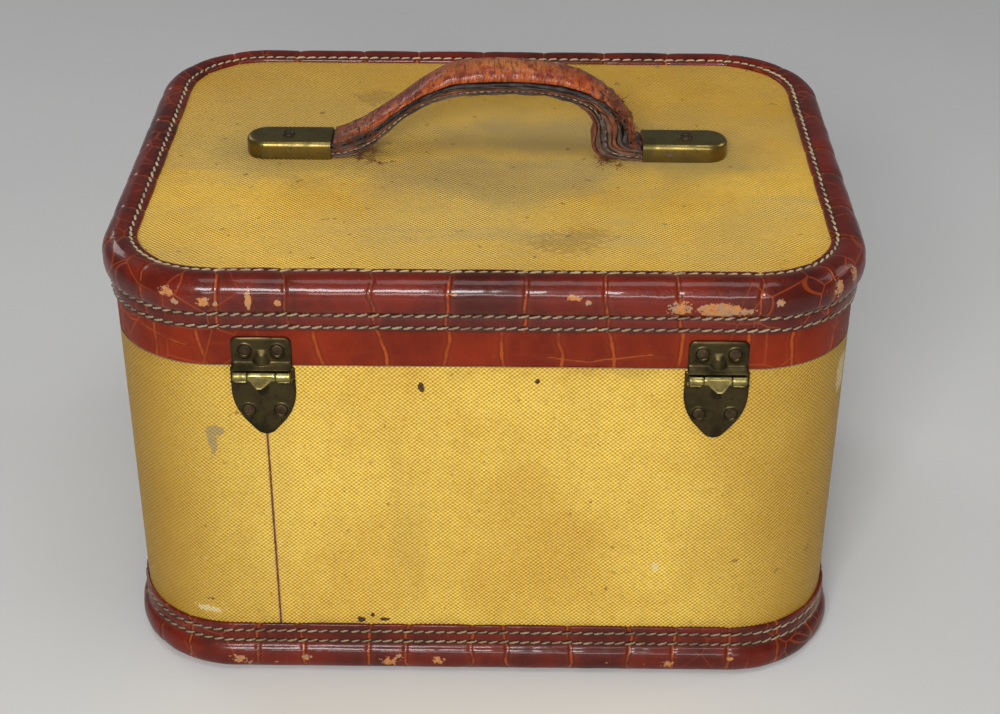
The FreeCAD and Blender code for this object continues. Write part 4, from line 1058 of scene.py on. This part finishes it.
shown = HANDLE_GUIDE[:, 4] > 0.9
ribbon(
    "handle_crown_cover", "crown_leather", ["handle_crown"], HANDLE_GUIDE[shown], gap[shown],
    gap[shown] + HANDLE_GUIDE[shown, 4],
    shaped(shown, [0, 0.05, 0.25, 0.72, 0.86, 1], [7, 8.6, 9.3, 9.3, 8.6, 7.6]), crown_leather,
    441, shaped(shown, [0, 0.08, 0.2, 0.66, 0.8, 1], [0.8, 0.5, 0.2, 0.2, 0.7, 0.9]), 0.3, 0.6,
    True, {
        "edge": lambda across, up, x: np.abs(across) ** 3 * (up < 0.75) + 0 * x,
        "torn": lambda across, up, x: (np.clip((-x - 46) / 10, 0, 1)
                                       + np.clip((x - 52) / 6, 0, 1)),
        "rub": lambda across, up, x: (np.exp(-((x + 8) / 28) ** 2)
                                      * np.clip((up - 0.45) / 0.5, 0, 1))})

# The torn lining that bulges out of the folded end, and the worn tongue at the other end.
x, up = HANDLE_GUIDE[:, 0], HANDLE_GUIDE[:, 1]
fold = (x < -44) & (x > -66) & (up < 237)
ribbon("handle_torn_flap", "crown_leather", [], HANDLE_GUIDE[fold], -1.9, -0.05,
       shaped(fold, [0, 0.3, 0.7, 1], [4.5, 7.8, 8.4, 6.5]), strap_suede, 451, 0.35, 0.8)
foot = (x > 44) & (x < 74)
ribbon("handle_worn_tongue", "crown_leather", [], HANDLE_GUIDE[foot], gap[foot] * 0.86,
       gap[foot] + 1.3, shaped(foot, [0, 0.5, 1], [8.7, 8.9, 7.4]), strap_suede, 461, 0.4, 0.4)


def strap_stitches(name, share_up, paint, seed):
    """Short stitches showing along both edges of the strap."""
    chance = np.random.default_rng(seed)
    bow, turn, tubes = np.linspace(-1, 1, 5)[:, None], circle(6), []
    thick = 0.34 * np.sqrt(np.maximum(0.03, 1 - bow ** 2))
    for index in range(8, len(HANDLE_GUIDE) - 8, 4):
        under, over = HANDLE_GUIDE[index, :2], HANDLE_GUIDE[index, 2:4]
        way = HANDLE_GUIDE[index + 1, :2] - HANDLE_GUIDE[index - 1, :2]
        way = way / np.linalg.norm(way)
        at = under + (over - under) * share_up
        for face in (-1, 1) if at[1] >= TOP + 1 else ():
            along, across = bow * chance.uniform(1.0, 1.5), thick * np.cos(turn)
            out = face * (STRAP_HALF + 0.05 + thick * np.sin(turn) - 0.25 * bow ** 2)
            tubes.append(np.stack([at[0] + way[0] * along - way[1] * across, HANDLE_Y + out,
                                   at[1] + way[1] * along + way[0] * across], axis=2))
    place_piece(add_tubes(name, tubes, paint), "lid", "strap_leather")


strap_stitches("handle_edge_stitches", 0.3, side_thread, 480)


def frays(name, spots, seed, count, reach):
    """Thin torn fibres that curl out from (x, outwards, up) spots, each a tapered strand."""
    chance = np.random.default_rng(seed)
    spots = np.array(spots, float) + (0, HANDLE_Y + STRAP_HALF - 0.1, 0)
    t, turn, tubes = np.arange(6)[:, None] / 5, circle(4), []
    for _ in range(count):
        root = spots[chance.integers(len(spots))] + chance.normal(0, 1.3, 3)
        way = chance.normal(0, 1, 3) * (1, 0.8, 1)
        way[1] = abs(way[1])
        way /= np.linalg.norm(way)
        curl = chance.normal(0, 0.8, 3)
        length = reach * chance.uniform(0.35, 1)
        line = root + way * length * t + curl * length * 0.5 * t * t
        line[:, 2] = np.maximum(line[:, 2], TOP + 0.25)
        thick = chance.uniform(0.12, 0.32) * (1 - 0.85 * t)
        ring = np.stack([np.cos(turn), np.full(4, 0.3), np.sin(turn)], axis=1)
        tubes.append(line[:, None] + thick[..., None] * ring)
    place_piece(add_tubes(name, tubes, strap_suede), "lid", "crown_leather")


frays("handle_right_frays", [(-68, 0, 226), (-69, -3, 221), (-64, 0, 232), (-60, 0, 238),
                             (-70, 0, 217), (-56, 0, 210), (-58, 0, 241)], 471, 320, 4.6)
frays("handle_left_frays", [(64, 0, 219), (70, 0, 215), (56, 0, 223), (60, 0, 211), (54, 1, 214)],
      472, 150, 3.6)
frays("handle_crumbs", [(x, out, TOP + 0.6) for x, out in ((55, 3), (50, 5), (-56, 4), (-62, 6))],
      473, 50, 2.6)

for side in ("left", "right"):
    rounded_copy(f"handle_cap_{side}", f"cap_{side}", 0.5, cap_brass, "lid", "cap_brass", 3)


CIRCLE = np.stack([np.cos(circle(36)), np.sin(circle(36))], axis=1)


def eyelet(a, b, edge):
    """A hollow rivet: a raised ring round a sunken centre."""
    away = np.hypot(a, b)
    ring = 0.55 * np.exp(-((away - 2.35) / 0.55) ** 2)
    return 0.45 + ring - 0.3 * np.exp(-(away / 1.6) ** 4) - 0.4 * (away > 3.05)


cap_rivet = box("handle_rivets")[1, 0] - 3.2
# Each cap shows a hollow rivet, and over its sunken centre a dark disc of painted shade.
for kind, radius, down, face, paint, rings, nodes in (
        ("eyelet", 3.2, 0.05, eyelet, rivet_brass, 12, ["handle_rivets"]),
        ("eyelet_hole_shade", 1.95, 0, lambda a, b, edge: 0.44 + 0.0 * a, hole_shade, 6, [])):
    for side, x in (("left", -cap_rivet), ("right", cap_rivet)):
        spot = (x, HANDLE_Y, box("handle_cap_left")[1, 2] - down)
        plate = pressed_plate(f"cap_{kind}_{side}", CIRCLE * radius, spot, UP, face, paint, rings)
        place_piece(plate, "lid", "rivet_brass", *(nodes if side == "left" else []))


# Hinges and latches

def rivet_spots(node):
    """The centres of a pair of rivets in a plate's plane."""
    low, high = box(node)
    radius, middle = (high[2] - low[2]) / 2, (low[2] + high[2]) / 2
    return [(low[0] + radius, middle), (high[0] - radius, middle)]


def plate_face(thick, rivets, extra=None, lip=1.3):
    """A pressed face: rounded at its rim, dished round each rivet, plus an extra shape."""
    def height(a, b, edge):
        rim = np.clip(edge / lip, 0, 1)
        rise = thick * (0.35 + 0.65 * np.sqrt(1 - (1 - rim) ** 2))
        for x, z in rivet_spots(rivets):
            away = np.hypot(a - x, b - z)
            rise = rise - 0.42 * np.exp(-(away / 2.8) ** 8) + 0.22 * np.exp(
                -((away - 3.2) / 0.5) ** 2)
        return rise + extra(a, b) if extra else rise
    return height


def rivet_head(a, b, edge):
    """A low dome with a flattened middle."""
    away = np.clip(np.hypot(a, b) / RIVET_HEAD, 0, 1)
    return 0.6 * np.sqrt(np.clip(1 - away ** 2.6, 0, 1))


def add_rivet_heads(node, body, face_y, axes):
    """The two heads that a node of rivets shows, on a plate's face."""
    for number, (x, z) in enumerate(rivet_spots(node), start=1):
        head = pressed_plate(f"{node}_head_{number}", CIRCLE * RIVET_HEAD, (x, face_y, z), axes,
                             rivet_head, rivet_brass, 10)
        place_piece(head, body, "rivet_brass", *([node] if number == 1 else []))


def barrel(name, body, low, high, y, z, radius=KNUCKLE):
    """One rolled knuckle along X, with rounded ends and the slit where its leaf closes."""
    sides, inset = 40, min(0.45, (high - low) / 4)
    bend = np.linspace(0, math.pi / 2, 5)
    x = np.concatenate([[low], low + inset * (1 - np.cos(bend[1:])),
                        np.linspace(low + inset, high - inset, 10)[1:-1],
                        high - inset * (1 - np.cos(bend[:0:-1])), [high]])
    size = np.concatenate([[0.35 * radius], radius - inset * (1 - np.sin(bend[1:])),
                           np.full(8, radius), radius - inset * (1 - np.sin(bend[:0:-1])),
                           [0.35 * radius]])
    turn = circle(sides)
    slit = 1 - 0.07 * np.exp(-((np.abs(np.angle(np.exp(1j * (turn + 2.4))))) / 0.12) ** 2)
    points = [(at, y + r * cut * math.cos(angle), z + r * cut * math.sin(angle))
              for at, r in zip(x, size) for angle, cut in zip(turn, slit)]
    faces = tube_faces(len(x), sides)
    faces += [tuple(range(sides - 1, -1, -1)), tuple(range(len(points) - sides, len(points)))]
    place_piece(add_mesh(name, points, faces, barrel_brass), body, "fitting_brass")


def stop_tail(name, centre_x, root_y, long, z):
    """The stop tail: a tongue dished along its middle that narrows from the knuckle outwards."""
    rows, columns = 16, 15
    points, faces = [], []
    for top in (True, False):
        for row in np.linspace(0, 1, rows):
            half = np.interp(row, [0, 0.12, 0.9, 1], [5.8, 5.2, 1.7, 0.9])
            lift = 0.55 * (1 - row) ** 3 - 0.55 * row ** 2 * top
            for column in np.linspace(-1, 1, columns):
                round_off = 1 - 0.5 * abs(column) ** 6 - 0.4 * max(0, (row - 0.9) / 0.1) ** 2
                dish = 0.5 * math.exp(-(column / 0.45) ** 2) * (0.35 + row) * (1 - row ** 4) * top
                points.append((centre_x + half * column, root_y + long * row,
                               z + lift + (0.65 if top else -0.4) * round_off - dish))
        start = 0 if top else rows * columns
        for a in range(start, start + (rows - 1) * columns):
            if a % columns < columns - 1:
                quad = (a, a + 1, a + columns + 1, a + columns)
                faces.append(quad if top else quad[::-1])
    rim = ([row * columns for row in range(rows)]
           + [(rows - 1) * columns + column for column in range(1, columns)]
           + [row * columns + columns - 1 for row in range(rows - 2, -1, -1)])
    faces += [(a, b, b + rows * columns, a + rows * columns) for a, b in zip(rim, rim[1:])]
    # The tail's lighter brass is painted highlight on its top.
    place_piece(add_mesh(name, points, faces, tail_brass), "lid", "fitting_brass")


leaf_low = box("lid_band")[0, 2] + 0.1
face = HALF_Y + 1.2
for side in ("left", "right"):
    hinge, latch = f"hinge_{side}", f"latch_{side}"
    centre_x = box(f"{hinge}_lid_leaf")[:, 0].mean()
    shield_top = box(f"{hinge}_body_leaf")[1, 2] - 6.2
    pin_low, pin_high = box(f"{hinge}_pin")[:, 0]
    axis_y, axis_z = box(f"{hinge}_pin").mean(axis=0)[1:]

    def lid_shape(a, b, centre_x=centre_x):
        """The half cone above the middle knuckle, and the flare down to the knuckles."""
        up = (b - leaf_low) / 8.2
        wide = np.interp(up, [0, 1], [4.4, 2.6])
        high = np.interp(up, [-0.1, 0.1, 0.7, 1.05], [2.0, 1.9, 1.3, 0])
        cone = high * np.clip(1 - ((a - centre_x) / wide) ** 2, 0, 1)
        flare = 4.2 * np.clip((leaf_low + 2.6 - b) / 2.6, 0, 1) ** 1.7
        return np.maximum(cone, flare)

    def body_shape(a, b, centre_x=centre_x, top=shield_top):
        """The leaf's bend outwards to the outer knuckles."""
        outer = np.clip((np.abs(a - centre_x) - 7) / 0.8, 0, 1)
        return 2.6 * np.clip((b - top + 2.2) / 2.2, 0, 1) ** 1.5 * outer * (b < top + 0.2)

    for part, name, body, keep, shape in (
            ("lid", "lid_plate", "lid", lambda v: v.z > leaf_low - 0.1, lid_shape),
            ("body", "shield", "case", lambda v: v.z < 167.45, body_shape)):
        rim = rim_of(f"{hinge}_{part}_leaf", lambda v: v.y < face + 0.05 and keep(v), 0.06)
        leaf = pressed_plate(f"{hinge}_{name}", rim, (0, HALF_Y + 0.05, 0), BACK,
                             plate_face(1.25, f"{hinge}_{part}_rivets", shape, 2.2),
                             leaf_brass, 34)
        place_piece(leaf, body, "fitting_brass", f"{hinge}_{part}_leaf")
    barrel(f"{hinge}_middle_knuckle", "lid", centre_x - 6.05, centre_x + 6.05, axis_y, axis_z)
    for number, low, high in ((1, pin_low, centre_x - 6.2), (2, centre_x + 6.2, pin_high)):
        barrel(f"{hinge}_outer_knuckle_{number}", "case", low, high, axis_y, axis_z)
        barrel(f"{hinge}_rolled_lip_{number}", "case", low + 0.5, high - 0.5, axis_y - 0.2,
               axis_z - 3, 0.4)
    stop_tail(f"{hinge}_stop_tail", centre_x, axis_y + 1.9,
              box(f"{hinge}_lid_leaf")[1, 1] - axis_y - 1.9, axis_z)
    add_rivet_heads(f"{hinge}_lid_rivets", "lid", face - 0.35, BACK)
    add_rivet_heads(f"{hinge}_body_rivets", "case", face - 0.35, BACK)
    repaint(f"{hinge}_pin", barrel_brass)

    plate = pressed_plate(f"{latch}_back_plate", rim_of(f"{latch}_plate", lambda v: True, 0.03),
                          (0, -HALF_Y, 0), FRONT, plate_face(1.15, f"{latch}_plate_rivets"),
                          hinge_brass, 26)
    place_piece(plate, "case", "fitting_brass", f"{latch}_plate")
    add_rivet_heads(f"{latch}_plate_rivets", "case", 0.2 - face, FRONT)
    add_rivet_heads(f"{latch}_lid_rivets", "lid", 0.2 - face, FRONT)
    for part, name, wide, paint, body, steps in (
            ("lid_leaf", "leaf", 0.4, hinge_brass, "lid", 2),
            ("case", "housing", 0.6, hinge_brass, "case", 3),
            ("hasp", "flap", 0.45, cap_brass, f"hasp_{side}", 3),
            ("lug", "staple", 0.35, barrel_brass, f"hasp_{side}", 2),
            ("bolt", "slide", 0.5, barrel_brass, f"bolt_{side}", 3)):
        rounded_copy(f"{latch}_{part}", f"{latch}_{name}", wide, paint, body, "fitting_brass",
                     steps)
    repaint(f"{latch}_pin", barrel_brass)


# Floor, light and camera

floor = Paint("floor", (0.62, 0.615, 0.60), Roughness=0.7, Specular_IOR_Level=0.2)
floor.tint(floor.noise(3, 3).ramp(0.3, 0.7), (0.60, 0.595, 0.58))
add_mesh("ground", [(-4000, -4000, 0), (4000, -4000, 0), (4000, 4000, 0),
                             (-4000, 4000, 0)], [(0, 1, 2, 3)], floor.finish())

for name, at, target, wide, tall, watts in (
        ("key", (0.25, 1.45, 0.98), (0, 0.08, 0.14), 0.55, 0.34, 19.5),
        ("sky", (-0.1, 0.35, 1.7), (0, 0, 0.2), 0.9, 0.6, 6),
        ("front", (-0.1, 1.9, 0.5), (0, 0.1, 0.15), 0.9, 0.22, 8),
        ("fill", (-1.5, -0.2, 1.0), (0, 0, 0.12), 0.7, 0.7, 4),
        ("rear", (1.3, -1.2, 1.1), (0, 0, 0.15), 0.7, 0.5, 5)):
    lamp = bpy.data.lights.new(name, "AREA")
    lamp.shape = "RECTANGLE"
    lamp.size, lamp.size_y, lamp.energy = wide, tall, watts
    obj = add_object(name, lamp)
    obj.location = at
    obj.rotation_euler = (Vector(target) - Vector(at)).to_track_quat("-Z", "Y").to_euler()
world = bpy.data.worlds.new("studio")
world.use_nodes = True
world.node_tree.nodes["Background"].inputs["Color"].default_value = (0.9, 0.94, 1.0, 1)
world.node_tree.nodes["Background"].inputs["Strength"].default_value = 0.2
bpy.context.scene.world = world
bpy.context.scene.view_settings.view_transform = "Standard"

# The camera stands behind the case, looks down by pitch, and is turned by yaw and rolled.
pitch, yaw, roll = (math.radians(turn) for turn in (31.36, -0.49, 0.26))
forward = Vector((math.sin(yaw) * math.cos(pitch), math.cos(yaw) * math.cos(pitch),
                  -math.sin(pitch)))
level = Vector((math.cos(yaw), -math.sin(yaw), 0))
above = level.cross(forward)
half_turn = Matrix.Rotation(math.pi, 3, "Z")
axes = [half_turn @ way for way in (math.cos(roll) * level + math.sin(roll) * above,
                                    -math.sin(roll) * level + math.cos(roll) * above, -forward)]
lens = bpy.data.cameras.new("camera")
lens.lens, lens.sensor_width, lens.clip_end = 66.97, 36, 50
camera = add_object("camera", lens)
camera.matrix_world = (Matrix.Translation((-0.01366, 0.81101, 0.59034))
                       @ Matrix(axes).transposed().to_4x4())
bpy.context.scene.camera = camera
